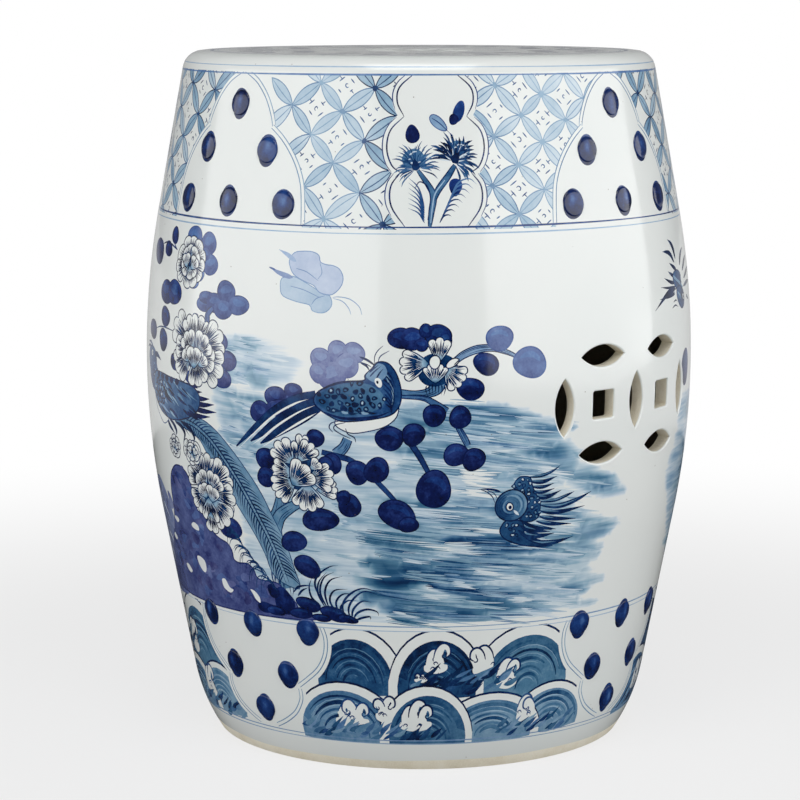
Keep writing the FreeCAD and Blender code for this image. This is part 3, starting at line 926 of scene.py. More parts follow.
def butterfly(art):
    """A pale butterfly, its wings one wash deep."""
    upper = (
        (-27, 332), (-26, 336.5), (-24.3, 337.6), (-22, 337.5), (-20.6, 335.4), (-20.2, 331.5),
        (-18.9, 330), (-17.6, 329.6), (-16.2, 327.6), (-15.4, 323), (-15.6, 318), (-16.7, 313.6),
        (-18, 311.6), (-20.2, 313), (-21.4, 317), (-23.6, 319.5), (-25.8, 323), (-26.8, 328),
    )
    lower = (
        (-28.5, 320.5), (-26, 322), (-23.5, 319), (-21, 315), (-19.4, 312), (-18, 311), (-17.5, 306),
        (-18.3, 302), (-19.6, 300.4), (-21.5, 301.5), (-22.2, 305), (-25, 306.6), (-28, 309.6), (-28.7, 314),
    )
    art.outlined(rounded(lower), 0.6, 0.2, 0.38, 0.3, 0.4, (at(-28, 318), at(-18, 303), 0.26))
    art.outlined(rounded(upper), 0.6, 0.22, 0.4, 0.7, 0.5, (at(-26, 335), at(-16, 318), 0.2))
    art.flick(places(((-25.5, 331), (-27.5, 335), (-29.6, 338))), 3.0, 0.3, 0.6)
    art.flick(places(((-26, 321), (-29, 323.5), (-31.4, 326.6))), 3.2, 0.38, 0.7)
    art.flick(places(((-30, 325.3), (-31.2, 326.4), (-31.7, 326.9))), 1.2, 0.6, 0.6)
    veins = (
        ((-25.4, 327), (-23, 325), (-20.5, 320)), ((-20.3, 331), (-19.8, 325), (-20.6, 321)),
        ((-26.5, 316), (-23.5, 314), (-20.2, 310)), ((-21.8, 305), (-20.8, 309), (-19, 311)),
    )
    art.lines(veins, 0.6, 0.42, 0.55, 0.4)
    art.line(places(((-17.4, 310.2), (-16, 310.6), (-13.8, 309.3), (-12, 305), (-11.4, 300))), 0.6, 0.4, 0.4)
    art.line(places(((-17.3, 309.6), (-15.4, 308), (-14.1, 304), (-13.6, 300))), 0.6, 0.36, 0.4)


def perched_bird(art):
    """A thrush on the branch, its long tail to the left."""
    rng = random.Random(21)
    tail = (
        ((-20.6, 250), (-25, 246), (-30, 237), (-35, 224), (-39.4, 212)),
        ((-19.8, 246.5), (-24, 241), (-29, 231.5), (-33, 222), (-35.6, 216.5)),
        ((-19.6, 242), (-23.5, 235.5), (-28, 226.5), (-31, 220), (-33.2, 215.8)),
    )
    for feather in tail:
        plume(art, feather, 5.0, 0.88, 0.22)
        art.flick(places(feather) + (0.3, -2.7), 1.3, 0.0, 0.3, head=0.3)
    art.flick(places(((-19.4, 240), (-23, 232), (-28, 223), (-30.5, 219))), 1.2, 0.88, 0.35)
    belly = (
        (-16.2, 235), (-12, 235), (-8, 236.6), (-5.6, 239), (-4.2, 244), (-4.5, 238), (-5.6, 233.8),
        (-7.4, 230.4), (-10, 228), (-13, 226.4), (-15, 227.8), (-16.6, 231),
    )
    art.outlined(rounded(belly), 0.7, 0.0, 0.9, line_hue=0.35)
    back = (
        (-20.8, 249), (-19.4, 253), (-17, 256.2), (-14, 258.8), (-10.9, 259.8), (-10.7, 263), (-9.3, 267.4),
        (-8.6, 270.6), (-7.4, 271.6), (-6, 270), (-4.7, 264.5), (-3.9, 257), (-3.7, 250), (-4.2, 243.5),
        (-5.7, 238.6), (-8.6, 236), (-12.4, 234.2), (-15.6, 233.8), (-18, 237), (-20, 241), (-21, 245),
    )
    art.outlined(rounded(back, 4), 0.9, 0.66, 0.95, 0.25, 0.35, (at(-12, 240), at(-4, 256), 0.74))
    wing = rounded(
        (
            (-20.4, 249), (-17, 255), (-13, 258), (-9.6, 257), (-7.4, 252), (-7, 246), (-8.8, 241),
            (-12, 238.2), (-15.6, 237), (-18.4, 240), (-20, 244),
        )
    )
    art.shape(wing, 0.58, 0.1, (at(-10, 255), at(-16, 238), 0.72))
    mottle(art, wing, 5.0, rng, 0.95, 0.5, 0.4)
    for index in range(7):
        start = at(-18 + index * 1.3, 241.6 - rng.uniform(0, 3))
        barb = [start, start + (2.6, -0.8), start + (6.4, -0.4)]
        art.flick(barb, rng.uniform(1.0, 1.8), rng.choice((0.4, 0.93)), 0.15, steps=3)
    for index in range(6):
        streak = [
            at(-7.6 + index * 0.5, 268 - index * 3), at(-5.6 + index * 0.1, 258 - index * 2.2),
            at(-5.2 - index * 0.1, 246 - index * 0.8),
        ]
        art.line(streak, 1.1, (0.38, 0.84)[index % 2], 0.12, 0.3)
    for index in range(8):
        high = 268 - index * 3.2
        end = max(high - 12, 240.5 - index * 0.3)
        streak = ((-7.6 + index * 0.12, high), (-5.8, (high + end) / 2 + 1), (-4.8 - index * 0.1, end))
        art.flick(places(streak), 1.0, 0.88, 0.35)
    art.flick(places(((-19.6, 239.6), (-15, 235.6), (-9, 237), (-5.6, 241))), 1.9, 0.93, 0.4, head=0.5)
    art.flick(places(((-20.2, 252), (-16, 257.6), (-11, 259.8))), 1.6, 0.93, 0.4, head=0.5)
    face = (
        (-10.4, 261.6), (-10.2, 264.4), (-8.9, 268), (-8.2, 270.4), (-7, 269.4), (-6.4, 265), (-7.2, 260.6),
        (-8.8, 258.6),
    )
    art.shape(rounded(face), 0.42, 0.22)
    face_marks = (
        ((-9.8, 262), (-8.8, 265.6), (-7.6, 268.8)), ((-8.6, 260.4), (-7.9, 264.4), (-7.1, 267.4)),
        ((-9.9, 264.6), (-9, 267.2), (-8, 269.6)),
    )
    art.flicks(face_marks, 1.0, 0.86, 0.3)
    art.shape(blob(-8.1, 258.6, 4.2, 6.0, 20, rng), 0.0)
    art.shape(blob(-8.3, 258.8, 1.5, 2.0, 20, rng), 0.95, 0.5)
    beak = (
        ((-11.9, 274.4), (-10.4, 272.6), (-9.1, 269.8), (-8.9, 268)),
        ((-11.7, 271), (-10.4, 268.6), (-9.7, 265)),
    )
    art.flicks(beak, 1.5, 0.94, 0.4)
    crest = (
        ((-8.9, 270), (-8.8, 275), (-8.2, 278.4), (-7.2, 281.4)), ((-8.2, 271), (-7.7, 275), (-6, 278.4)),
        ((-9.4, 268), (-10.6, 270), (-12, 271)),
    )
    art.lines(crest, 0.65, 0.9, 0.35, 0.3)
    legs = (
        ((-15.4, 234.2), (-17.4, 232.4), (-17.9, 229.4), (-17.2, 226.6)),
        ((-14.6, 233), (-16.6, 231.2), (-16.9, 228.4), (-15.4, 225.4), (-13.6, 223)),
        ((-14.6, 229.4), (-14.2, 226), (-12.9, 223.8), (-12.6, 220.8)),
    )
    art.lines(legs, 0.8, 0.9, 0.35, 0.35)


def swallow(art):
    """A swallow in flight with its beak open, its tail feathers spread to the right."""
    rng = random.Random(22)
    tail = (
        (((21.6, 197), (24.6, 197.4), (27, 199.6), (28.8, 203)), 2.2),
        (((22, 194.4), (25, 193.4), (28.2, 196.2)), 3.0), (((22.4, 191), (25, 190), (27.6, 191.8)), 2.6),
        (((22.6, 188), (25, 186.6), (27.8, 188.4)), 2.6), (((23, 184.6), (26, 183.2), (29.4, 186.8)), 3.4),
        (((24, 180.6), (28, 180.6), (31, 183.2), (32.6, 185)), 2.4),
        (((24.4, 178.4), (29, 176.6), (33.4, 179.4), (37, 183.6)), 3.6),
        (((24.6, 174.6), (29, 172.6), (35.6, 174.6)), 3.4),
        (((24.6, 171), (28, 168.6), (33.6, 166.8)), 3.2), (((24, 168), (27.6, 165.4), (32.6, 163.8)), 3.0),
        (((23, 166), (26, 163), (29, 161.4)), 2.6), (((20.6, 165.6), (24, 162), (27.6, 160)), 3.2),
        (((20.6, 160.8), (24.6, 158), (28.6, 158.8)), 3.6),
        (((20, 156.8), (25, 153.2), (29, 152.8), (33.4, 155)), 4.2),
    )
    for track, width in tail:
        feather = places(track)
        art.flick(feather, width, 0.9, 0.22, head=0.4)
        art.flick((feather + (0.5, 0.4))[:-1], width * 0.3, 0.5, 0.1, head=0.4)
    upper = rounded(
        (
            (18.7, 190.6), (18.9, 194), (19.6, 196.8), (20.6, 197.8), (22.2, 196.6), (22.8, 191),
            (23.6, 186), (24.6, 181), (24.8, 175), (24.4, 170), (22.6, 167.8), (20.6, 169.4), (20, 174),
            (21.2, 180), (20.8, 186),
        )
    )
    art.outlined(upper, 0.8, 0.72, 0.93, 0.12, 0.25, (at(20, 190), at(24, 172), 0.8))
    mottle(art, upper, 3.9, rng, 0.93, 0.38, 0.5)
    lower = (
        (17.6, 169.6), (16.6, 166.4), (16.3, 162.6), (17.2, 158.4), (19, 155.2), (21.6, 152.6), (24.6, 151),
        (28.6, 150.6), (25, 153), (22.4, 156.6), (21.6, 161), (21.4, 165.6), (20.6, 169),
    )
    art.outlined(rounded(lower), 0.9, 0.72, 0.93, 0.12, 0.25, (at(17, 165), at(26, 152), 0.88))
    spotted = ((17.4, 168), (17, 162), (18.6, 157), (20.4, 158), (20.4, 166), (20, 168.6))
    mottle(art, places(spotted), 3.9, rng, 0.93, 0.38, 0.5)
    quills = (
        ((20.6, 166), (23, 161), (27, 157.4)), ((20.2, 163), (22.4, 158), (26, 154.6)),
        ((21, 168), (24, 164), (28, 161)),
    )
    art.flicks(quills, 2.4, 0.9, 0.2)
    head = blob(18.5, 179.4, 21.5, 20.5, 0, rng, 0.01)
    art.outlined(head, 1.0, 0.74, 0.95, 0.12, 0.25, (at(17, 176), at(21, 184), 0.42))
    for scale in (0.86, 0.72, 0.58, 0.46):
        for start, end, count, stray, reach, width, tones, hue in (
            (120, 300, 10, 30, (10.4, 9.8), 1.2, (0.48, 0.8, 0.74), 0.15),
            (-60, 100, 8, 20, (10.2, 9.6), 1.1, (0.4, 0.62), 0.1),
        ):
            t = np.radians(np.linspace(start, end, count) + rng.uniform(-stray, stray))
            arc = at(18.3, 179) + np.stack((np.cos(t) * reach[0], np.sin(t) * reach[1]), 1) * scale
            art.shape(ribbon(arc, width * swelling(arc)), rng.choice(tones), hue)
    art.flick(places(((19, 176.2), (19.6, 174.4), (20.2, 172.8))), 1.8, 0.1, 0.3, head=0.5)
    eye(art, (18.1, 178.6, 4.6, 5.4, 30), (18.2, 178.2, 2.2, 2.6, 0), rng, 0.03)
    art.flick(places(((16.1, 188.6), (14.6, 190.2), (12.8, 191), (11.2, 190.8))), 1.5, 0.95, 0.4, head=0.2)
    art.line(places(((14.9, 181.8), (14.4, 185.6), (13.2, 189), (12, 190.6))), 0.75, 0.93, 0.4, 0.3)
    art.line(places(((15.4, 184.4), (14.7, 187.8), (13, 190.6))), 0.6, 0.9, 0.4, 0.3)


def pheasant_tail(art, rng):
    """The long tail: a quill of two dark lines with combed barbs, and short feathers over its root."""
    left = (
        (-60, 220), (-55.5, 217), (-51, 213), (-48.4, 204), (-46, 194), (-42.8, 182), (-39.4, 168),
        (-36.6, 155), (-34.6, 143), (-32.6, 128),
    )
    right = (
        (-26.8, 122), (-27.6, 136), (-29, 152), (-31.4, 168), (-34, 184), (-37.4, 198), (-41.4, 211),
        (-45.6, 221), (-50, 226), (-56, 226),
    )
    art.outlined(rounded(left + right, 4), 0.7, 0.48, 0.78, 0.1, 0.15, (at(-52, 222), at(-30, 128), 0.42))
    spine = (
        (-58, 223), (-52, 220.5), (-47, 213), (-42.6, 200), (-39, 186), (-35.8, 170), (-33, 154),
        (-31, 138), (-29.6, 125),
    )
    curve = smooth(places(spine), 6)
    side = sideways(curve)
    for lean in (-1, 1):
        for index in range(1, len(curve) - 3):
            run = curve[min(index + 3, len(curve) - 1)] - curve[index]
            run = run / max(np.linalg.norm(run), 1e-6)
            out = side[index] * lean
            reach = rng.uniform(11, 15) * (0.85 + 0.3 * index / len(curve))
            tip = curve[index] + run * reach * 0.8 + out * reach * rng.uniform(0.56, 0.72)
            bend = curve[index] + run * reach * 0.3 + out * reach * 0.36
            barb = [curve[index], bend, tip]
            art.flick(
                barb, rng.uniform(0.9, 1.3), rng.uniform(0.78, 0.93), rng.uniform(0.1, 0.25), steps=3,
                head=0.3
            )
    for offset in (-1.3, 1.3):
        run = curve + side * offset
        art.shape(ribbon(run, 1.2 * swelling(run, 0.5)), 0.9, 0.2)
    root = (
        ((-60, 220), (-57.4, 218), (-56, 213.6), (-56.8, 208)),
        ((-57.6, 221), (-54, 218), (-52.4, 213), (-53, 208.6)),
        ((-63, 221), (-60.6, 217.6), (-59.6, 213.6), (-60, 210.6)),
        ((-64, 221), (-62.6, 216), (-60.4, 211.6)),
    )
    art.flicks(root, 3.0, 0.9, 0.3, steps=6, head=0.4)


def pheasant(art):
    """A long-tailed pheasant at the left, half round the side, with its tail swept down to the rock."""
    rng = random.Random(23)
    pheasant_tail(art, rng)
    breast = (
        (-71, 236), (-70.8, 229), (-69, 222), (-66.4, 216.4), (-64.4, 217.4), (-63, 221.6), (-66, 224),
        (-69.2, 230),
    )
    art.outlined(rounded(breast), 0.7, 0.0, 0.7, line_hue=0.35)
    neck = (
        (-72, 236), (-74.6, 242), (-75.6, 250), (-76.4, 256), (-75.6, 262.4), (-73, 264.6), (-70.6, 262.4),
        (-69.6, 258), (-69.4, 253), (-68.4, 249), (-66.8, 246), (-68, 240),
    )
    art.outlined(rounded(neck), 0.8, 0.64, 0.88, 0.25, 0.3, (at(-74, 262), at(-69, 242), 0.76))
    nape = ((-73, 240), (-74, 250), (-71, 254), (-69, 250), (-68.6, 242))
    scales(art, rounded(nape), 4.4, 0.3, rng, 0.8)
    art.flick(places(((-71, 259.6), (-69, 260.4), (-66.4, 257.4))), 3.6, 0.86, 0.25, head=0.4)
    beak = (((-72, 263.4), (-74.6, 266.6), (-77.4, 266)), ((-73.6, 263), (-76, 264), (-78.4, 262)))
    art.flicks(beak, 2.2, 0.8, 0.25, head=0.3)
    eye(art, (-73, 260, 4.4, 4.8, 0), (-72.8, 259.9, 1.9, 2.1, 0), rng)
    wing = rounded(
        (
            (-71.6, 243), (-70, 249), (-66.4, 249.6), (-61, 248.4), (-56.4, 247.6), (-52, 245.6),
            (-50, 241), (-50, 234), (-52, 227.6), (-57, 222.4), (-62, 220.6), (-66.6, 223.6), (-69.8, 229),
            (-71.6, 236),
        ),
        4
    )
    flight = (
        (((-57, 246.4), (-53, 246.4), (-50.4, 245.4)), 2.6),
        (((-56, 244), (-52, 242.8), (-48.9, 243.4)), 3.0),
        (((-55, 240.6), (-50, 239), (-46.6, 239.8)), 3.4),
        (((-55, 237.4), (-49.6, 235.2), (-45.2, 236.6)), 3.6),
        (((-55, 234), (-49.6, 231.4), (-44.6, 231.8)), 3.6),
        (((-56, 230.6), (-51, 227.4), (-46.6, 228.2)), 3.4),
    )
    for track, width in flight:
        art.flick(places(track), width, 0.9, 0.62, head=0.5)
    art.outlined(wing, 0.9, 0.62, 0.95, 0.2, 0.35, (at(-62, 246), at(-56, 226), 0.7))
    for index in range(40):
        start = at(rng.uniform(-70.4, -53), rng.uniform(226, 247))
        if winding(start[None], inset(anticlockwise(wing), 1.5))[0]:
            reach = rng.uniform(7, 15)
            barb = [
                start, start + (reach * 0.5, -reach * 0.2), start + (reach, -reach * rng.uniform(0.3, 0.6)),
            ]
            width, tone = rng.uniform(1.2, 2.4), rng.choice((0.36, 0.48, 0.9, 0.94, 0.95))
            art.flick(barb, width, tone, rng.choice((0.15, 0.4)), steps=3, head=0.4)
    shoulder = ((-71, 236), (-70.6, 246), (-66, 247), (-63.6, 240), (-66, 228), (-69.6, 230))
    scales(art, rounded(shoulder), 4.8, 0.45, rng, 0.95, 1.2)
    for index in range(5):
        art.shape(blob(-68 + index * 2.4, 247.8 - index * 0.3, 5.4, 4.4, 0, rng, 0.05), 0.93, 0.5)


def far_bird(art):
    """A bird that flies round the right side of the stool."""
    rng = random.Random(24)
    spread = (
        (((68.4, 323), (67.6, 330), (66.4, 334), (64.6, 336.8)), 4.6),
        (((67.4, 321), (65.4, 327), (63.4, 329), (61.2, 329.8)), 4.0),
        (((68.4, 316), (66.4, 318.6), (64.2, 321.8)), 3.4),
        (((67.4, 311.6), (65.2, 313.6), (63, 316.6)), 3.2), (((67, 308), (64, 309.4), (60.8, 312.8)), 3.0),
        (((67, 305.6), (63.4, 305.8), (58.8, 307.4)), 2.4),
        (((67, 304), (63.6, 303.8), (60, 300.2), (55.8, 293.2)), 4.4),
        (((67, 302), (63, 300.6), (58, 299.8)), 3.0), (((71, 318), (73, 325), (76, 329)), 4.2),
        (((73, 314), (76.6, 320), (80, 323)), 4.2), (((74, 309), (79, 313), (83, 314)), 3.8),
        (((73, 304), (78, 305.6), (82, 305)), 3.4), (((64, 292.4), (66, 293.8), (67.8, 292)), 1.2),
        (((64.8, 296), (66.4, 297), (67.4, 295.6)), 1.2),
    )
    for track, width in spread:
        art.flick(places(track), width * 0.85, 0.93, 0.22, head=0.35)
    body = blob(68.6, 309.4, 20, 12.6, -14, rng, 0.06)
    art.outlined(body, 0.8, 0.66, 0.9, 0.2, 0.25, (at(66, 312), at(72, 306), 0.8))
    for index in range(9):
        start = at(65.8 + index * 0.62, 313.4 - index * 0.8)
        art.flick([start, start + (3, -2.4), start + (6.4, -3.6)], 1.5, rng.choice((0.4, 0.9)), 0.15, steps=3)
    head = blob(70.2, 298.2, 18.6, 14, -20, rng, 0.05)
    art.outlined(head, 0.9, 0.7, 0.93, 0.2, 0.3, (at(67, 303), at(73, 293), 0.84))
    for index in range(6):
        start = at(68 + index * 0.7, 302 - index * 0.8)
        art.flick(
            [start, start + (2.6, -2.2), start + (3.6, -5)], 1.1, rng.choice((0.45, 0.92)), 0.15, steps=3
        )
    # The white spot on the bird's back is a painted highlight; the next one is a white patch left in the
    # paint.
    art.shape(blob(71.8, 309.4, 4.0, 4.4, 0, rng), 0.03)
    art.shape(blob(66.4, 301.8, 3.4, 3.8, 0, rng), 0.03)
    eye(art, (72.2, 297.6, 4.2, 4.2, 0), (72.3, 297.5, 1.8, 2.0, 0), rng)
    art.flick(places(((75.6, 297), (77, 295.4), (78.6, 293.6))), 2.6, 0.92, 0.35, head=0.3)


ROCK_SLOPE = ((-86, 101), (-86, 150), (-82, 168), (-77, 176), (-72, 170), (-69, 158), (-67, 140), (-66, 101))
ROCK_MASS = (
    (-76, 101), (-75.6, 118), (-73, 132), (-70, 141), (-68, 150), (-66.8, 160), (-66.4, 172), (-65.2, 182),
    (-62.6, 189), (-60, 190.6), (-57.8, 188.6), (-56.2, 184), (-55.2, 174), (-54.8, 166), (-54, 162.6),
    (-52, 161.6), (-50.4, 158), (-49.6, 151), (-47.6, 147.6), (-45.4, 145.6), (-44.2, 141), (-44, 135.4),
    (-42.6, 133.6), (-40, 134), (-38.4, 131), (-37.6, 125.4), (-35, 124.4), (-32.4, 124), (-30.6, 120),
    (-28.8, 115), (-27.4, 108), (-26.6, 101),
)
ROCK_LIGHTS = (
    ((-76, 158), (-74, 154), (-71.6, 148)), ((-77, 137), (-75, 135), (-72.4, 131)),
    ((-80, 166), (-78, 158), (-77.4, 150)), ((-79, 126), (-77, 122), (-76, 117)),
)
ROCK_HOLES = (
    ((-58.2, 152), (-57, 154), (-55.4, 152.6), (-55.2, 149.4), (-56.4, 149), (-57.8, 150)),
     (
        (-58.4, 130), (-57, 130.8), (-55.2, 128.6), (-55, 123.6), (-55.8, 120.4), (-57, 121.4),
        (-58.2, 125.6),
    ),
    ((-49.4, 118.6), (-48.8, 120), (-48, 119.6), (-47, 115), (-45.8, 113.6), (-47, 111.2), (-49, 113.6)),
    ((-40.2, 116.6), (-39, 116), (-37.8, 112.4), (-37.8, 108.4), (-39, 110.6), (-39.6, 113.6)),
    ((-65.6, 121), (-64.2, 121.6), (-62.6, 118), (-63.6, 116), (-65, 117.6)),
    ((-67.6, 152), (-66.2, 153.4), (-64.8, 151.6), (-66, 149)),
    ((-71, 138), (-69.8, 140), (-68.6, 136.8), (-70, 135)),
)
ROCK_FOOT_LEAVES = (
    (-25, 112, 18, 9, -8), (-19, 107, 21, 8.4, -14), (-27, 105.6, 17, 7, 0), (-33.6, 105, 15, 6, 0),
    (-16, 104.4, 14, 5, -8), (-22, 103.8, 14, 4.6, 0),
)


def rock(art):
    """A dark rock with worn holes at the foot of the tree."""
    rng = random.Random(25)
    art.shape(rounded(ROCK_SLOPE, 4), 0.4, 0.85, (at(-74, 170), at(-70, 110), 0.5))
    for _ in range(26):
        d, h = rng.uniform(-85, -68), rng.uniform(106, 168)
        patch = blob(d, h, rng.uniform(8, 20), rng.uniform(6, 14), rng.uniform(-20, 60), rng, 0.2)
        art.shape(patch, rng.uniform(0.34, 0.52), 0.95, (at(d, h + 6), at(d, h - 6), rng.uniform(0.36, 0.5)))
    art.flicks(ROCK_LIGHTS, 2.6, 0.1, 0.8)
    mass = rounded(ROCK_MASS, 4)
    art.outlined(mass, 1.0, 0.62, 0.8, 0.85, 0.8, (at(-64, 180), at(-34, 104), 0.65))
    inner = inset(anticlockwise(mass), 3.0)
    for _ in range(170):
        d, h = rng.uniform(-75, -28), rng.uniform(104, 188)
        if winding(at(d, h)[None], inner)[0]:
            w, tall = rng.uniform(5, 13), rng.uniform(4, 8)
            patch = blob(d, h, w, tall, rng.uniform(-25, 25), rng, 0.22)
            level = rng.uniform(0.52, 0.73) + (0.06 if h > 168 else 0.0)
            hue = rng.choice((0.7, 0.85, 0.95))
            fade = (at(d, h + tall / 2), at(d, h - tall / 2), level + rng.uniform(-0.05, 0.07))
            art.shape(patch, level, hue, fade)
    for d, h, w, tall in ((-31, 112, 15, 20), (-33.6, 118, 10, 9), (-36, 106, 16, 8)):
        fade = (at(d, h + tall / 2), at(d, h - tall / 2), 0.95)
        art.shape(blob(d, h, w, tall, 0, rng, 0.1), 0.86, 0.55, fade)
    for hole in ROCK_HOLES:
        art.shape(rounded(hole), 0.03, 0.6)
    for leaf in ROCK_FOOT_LEAVES:
        round_leaf(art, *leaf, 0.92, 0.55)


GRASS_BLADES = (
    ((-20.4, 110), (-21.9, 121), (-20.8, 131), (-18.4, 135.4)),
    ((-20, 109), (-20.8, 121), (-19.4, 129.6), (-16.6, 133)),
    ((-21, 111), (-22.4, 120), (-22, 128), (-20, 135)),
    ((-18.4, 108), (-19.8, 116), (-18.6, 123), (-15.6, 124.6)),
    ((-17.8, 107), (-18.4, 115), (-16.8, 120.8), (-14.4, 121.6)),
    ((-17, 106.6), (-17.4, 112), (-15.8, 116.6), (-13.8, 117.4)),
    ((-15.4, 104), (-15.6, 112), (-14, 119.6), (-11.6, 123.8), (-8.6, 121)),
    ((-15, 104), (-14.6, 111), (-12.6, 116.8), (-10.6, 116.6)),
    ((-14.8, 103.6), (-13.8, 108.6), (-11.6, 111.6), (-9.4, 110.4), (-9, 107.6)),
    ((-14.6, 103), (-13, 105.4), (-11, 106.8), (-10.8, 104.6)),
    ((-28.4, 119), (-27.2, 123), (-25.4, 124.6), (-23, 124.8)),
    ((-27.4, 117), (-26.2, 121), (-24.6, 123.6)),
    ((-16.6, 105), (-16.9, 114), (-15, 121.6), (-12, 125.6), (-8, 122.6)),
    ((-22, 112), (-24, 117), (-24.4, 124), (-23.6, 130)),
    ((-20.8, 112), (-22.9, 124), (-22.2, 132), (-19.4, 138.6), (-17.4, 140)),
)


def grass(art):
    """Bent blades of grass beside the rock."""
    art.flicks(GRASS_BLADES, 1.6, 0.92, 0.3, head=0.3)
    rng = random.Random(27)
    for index in range(24):
        base = at(-32.4 - index * 0.44, 117 + index * 1.5)
        reach = rng.uniform(10, 19)
        rise, drop = rng.uniform(0.3, 0.6) * reach, rng.uniform(-2, 10)
        blade = [
            base, base + (-reach * 0.3, rise), base + (-reach * 0.75, rise),
            base + (-reach, rise * 0.5 - drop),
        ]
        art.flick(blade, rng.uniform(0.8, 1.2), 0.84, 0.2, steps=4, head=0.35)


# Branches as (places, widths, tone, hue, whether bark shows), leaves as (degrees, height, wide, tall, turn,
# tone, hue), and lobed leaves as (lobes, tone, hue, how much darker the rim is).
TRUNKS = (
    (
        ((-29.6, 190), (-29.2, 182), (-30, 172), (-31.6, 160), (-30.6, 142), (-29, 122)),
        (4.5, 6.5, 9, 12, 12, 14), 0.5, 0.1,
    ),
    (((-24.6, 180), (-27, 176), (-29.6, 170), (-31, 162)), (5, 6.5, 8, 9), 0.52, 0.1),
)
BRANCHES = (
    (((-14.2, 222.6), (-15, 217.4), (-16.6, 212.4)), (5.5, 6.0, 7.0), 0.52, 0.2),
     (
        ((-19.6, 213.6), (-16.6, 211.6), (-13.6, 209), (-10, 200.6), (-7, 191), (-5, 184)),
        (2.6, 3.2, 3.0, 2.6, 2.4, 2.0), 0.8, 0.35, False,
    ),
     (
        ((-7.4, 231.6), (-4.6, 228.6), (-2, 221), (0, 211.4), (1.4, 203)), (2.0, 2.8, 3.2, 3.0, 2.4), 0.8,
        0.35, False,
    ),
    (((2.6, 262), (3, 256.4), (1.6, 252.6), (-1, 251.6), (-4, 253)), (13, 9.5, 5.5, 4, 3), 0.52, 0.18),
    (((-3.6, 250), (0.4, 249.4), (2.6, 246), (5.2, 241.4)), (1.6, 3.0, 3.6, 2.8), 0.6, 0.25),
    (((6.4, 236), (7.4, 230), (8.6, 223), (9.2, 219)), (2.2, 3.0, 3.6, 3.0), 0.58, 0.22),
     (
        ((6.6, 272), (8.4, 276), (11, 279), (14, 279.4), (17, 276.4), (18.6, 274)),
        (3.4, 4.2, 4.6, 3.6, 2.4, 1.8), 0.42, 0.3,
    ),
)
LEAVES = (
    (-6, 223.6, 17, 14.6, -14), (-1.4, 226.4, 13.6, 14, 10), (2.6, 238.4, 14, 13, -8),
    (7.6, 237, 12.8, 14, 24), (6.9, 213.4, 14.6, 14.4, 12), (10.4, 210.2, 13, 15, -20),
    (2.6, 191.6, 22, 23, -24), (9.6, 254.6, 16, 14, -10), (-4.6, 175, 24, 18, -20),
    (-2.4, 168.6, 12, 10, 0), (-12.4, 201.6, 14.6, 14.6, -20), (-8.6, 203.4, 15, 16, -30),
    (-17.6, 206.4, 12, 13.6, 20), (-18.8, 204.6, 11, 12, 0), (-20.9, 222, 11, 11.6, -10),
    (-32.2, 206.4, 13.4, 14, 30), (-32.3, 194.4, 13.4, 12.4, 0), (-14.2, 180, 14, 15, -40),
    (-15.4, 185, 9, 9, 0), (-20.6, 169.6, 26, 13.6, 8), (-27, 153.6, 18, 13.6, 12),
    (-24.4, 137.6, 19, 14, -16), (12.7, 269.8, 16, 13, -16, 0.86, 0.6),
    (15.4, 285.4, 17.4, 14.6, -6, 0.6, 0.62), (21.6, 269.6, 21, 19.6, -10, 0.6, 0.62),
)
LOBED_LEAVES = (
    (((-3.8, 286, 15, 12.6), (-1.6, 285.6, 14, 14), (0.2, 282, 8, 7)), 0.88, 0.6),
    (((3.4, 288, 15, 13), (1, 290.6, 7.6, 8), (4.8, 285.6, 7, 10)), 0.86, 0.5),
     (
        (
            (-17.4, 262, 19, 17), (-19.6, 272, 13, 13), (-16.2, 277, 12, 13), (-13, 276.4, 13, 13),
            (-14.4, 268.6, 14, 16), (-20, 263.4, 11, 12),
        ),
        0.5, 0.9, 0.1,
    ),
     (
        (
            (-33, 236, 15, 13), (-29.4, 246.6, 14, 13), (-26, 246, 10, 10), (-25.4, 251, 12, 9),
            (-29, 239.6, 15, 10),
        ),
        0.8, 0.75, 0.1,
    ),
     (
        (
            (-48.8, 300, 15, 9), (-48, 304, 15, 8), (-45.4, 301.6, 16, 12), (-42.4, 309, 15, 14.4),
            (-43, 298, 16, 12), (-38.8, 301.6, 16, 12),
        ),
        0.72, 0.6,
    ),
)
LEFT_LEAVES = (
    (-43.2, 277, 11, 11.6, -20, 0.7, 0.85), (-41, 266, 12.6, 12.6, 10, 0.72, 0.85),
    (-42.6, 254, 14, 12, 0, 0.74, 0.85), (-53.4, 251.6, 9, 7, 0, 0.75, 0.5),
    (-51.6, 247.6, 9, 4, 0, 0.8, 0.7), (-59.4, 259, 11.6, 9, -30, 0.85, 0.7),
    (-57.4, 257.6, 9, 6, 0, 0.82, 0.75), (-64.4, 287, 14, 13, -20, 0.86, 0.6),
    (-65.2, 271.6, 14, 14, 20, 0.84, 0.55), (-72.4, 276, 17, 13, 0, 0.84, 0.75),
    (-72.2, 327.6, 23, 15, -14, 0.86, 0.75), (-65.8, 330.6, 13, 9, -6, 0.86, 0.7),
    (-63, 340, 10, 11, 10, 0.84, 0.65),
)
LEFT_LOBED_LEAVES = (
    (((-54.2, 341.6, 17, 12), (-49, 338, 15, 14), (-47.8, 325, 14.6, 12.6), (-49.6, 331, 9, 8)), 0.64, 0.6),
    (((-64.6, 303, 19, 15), (-60.6, 304, 19, 16)), 0.84, 0.55),
)


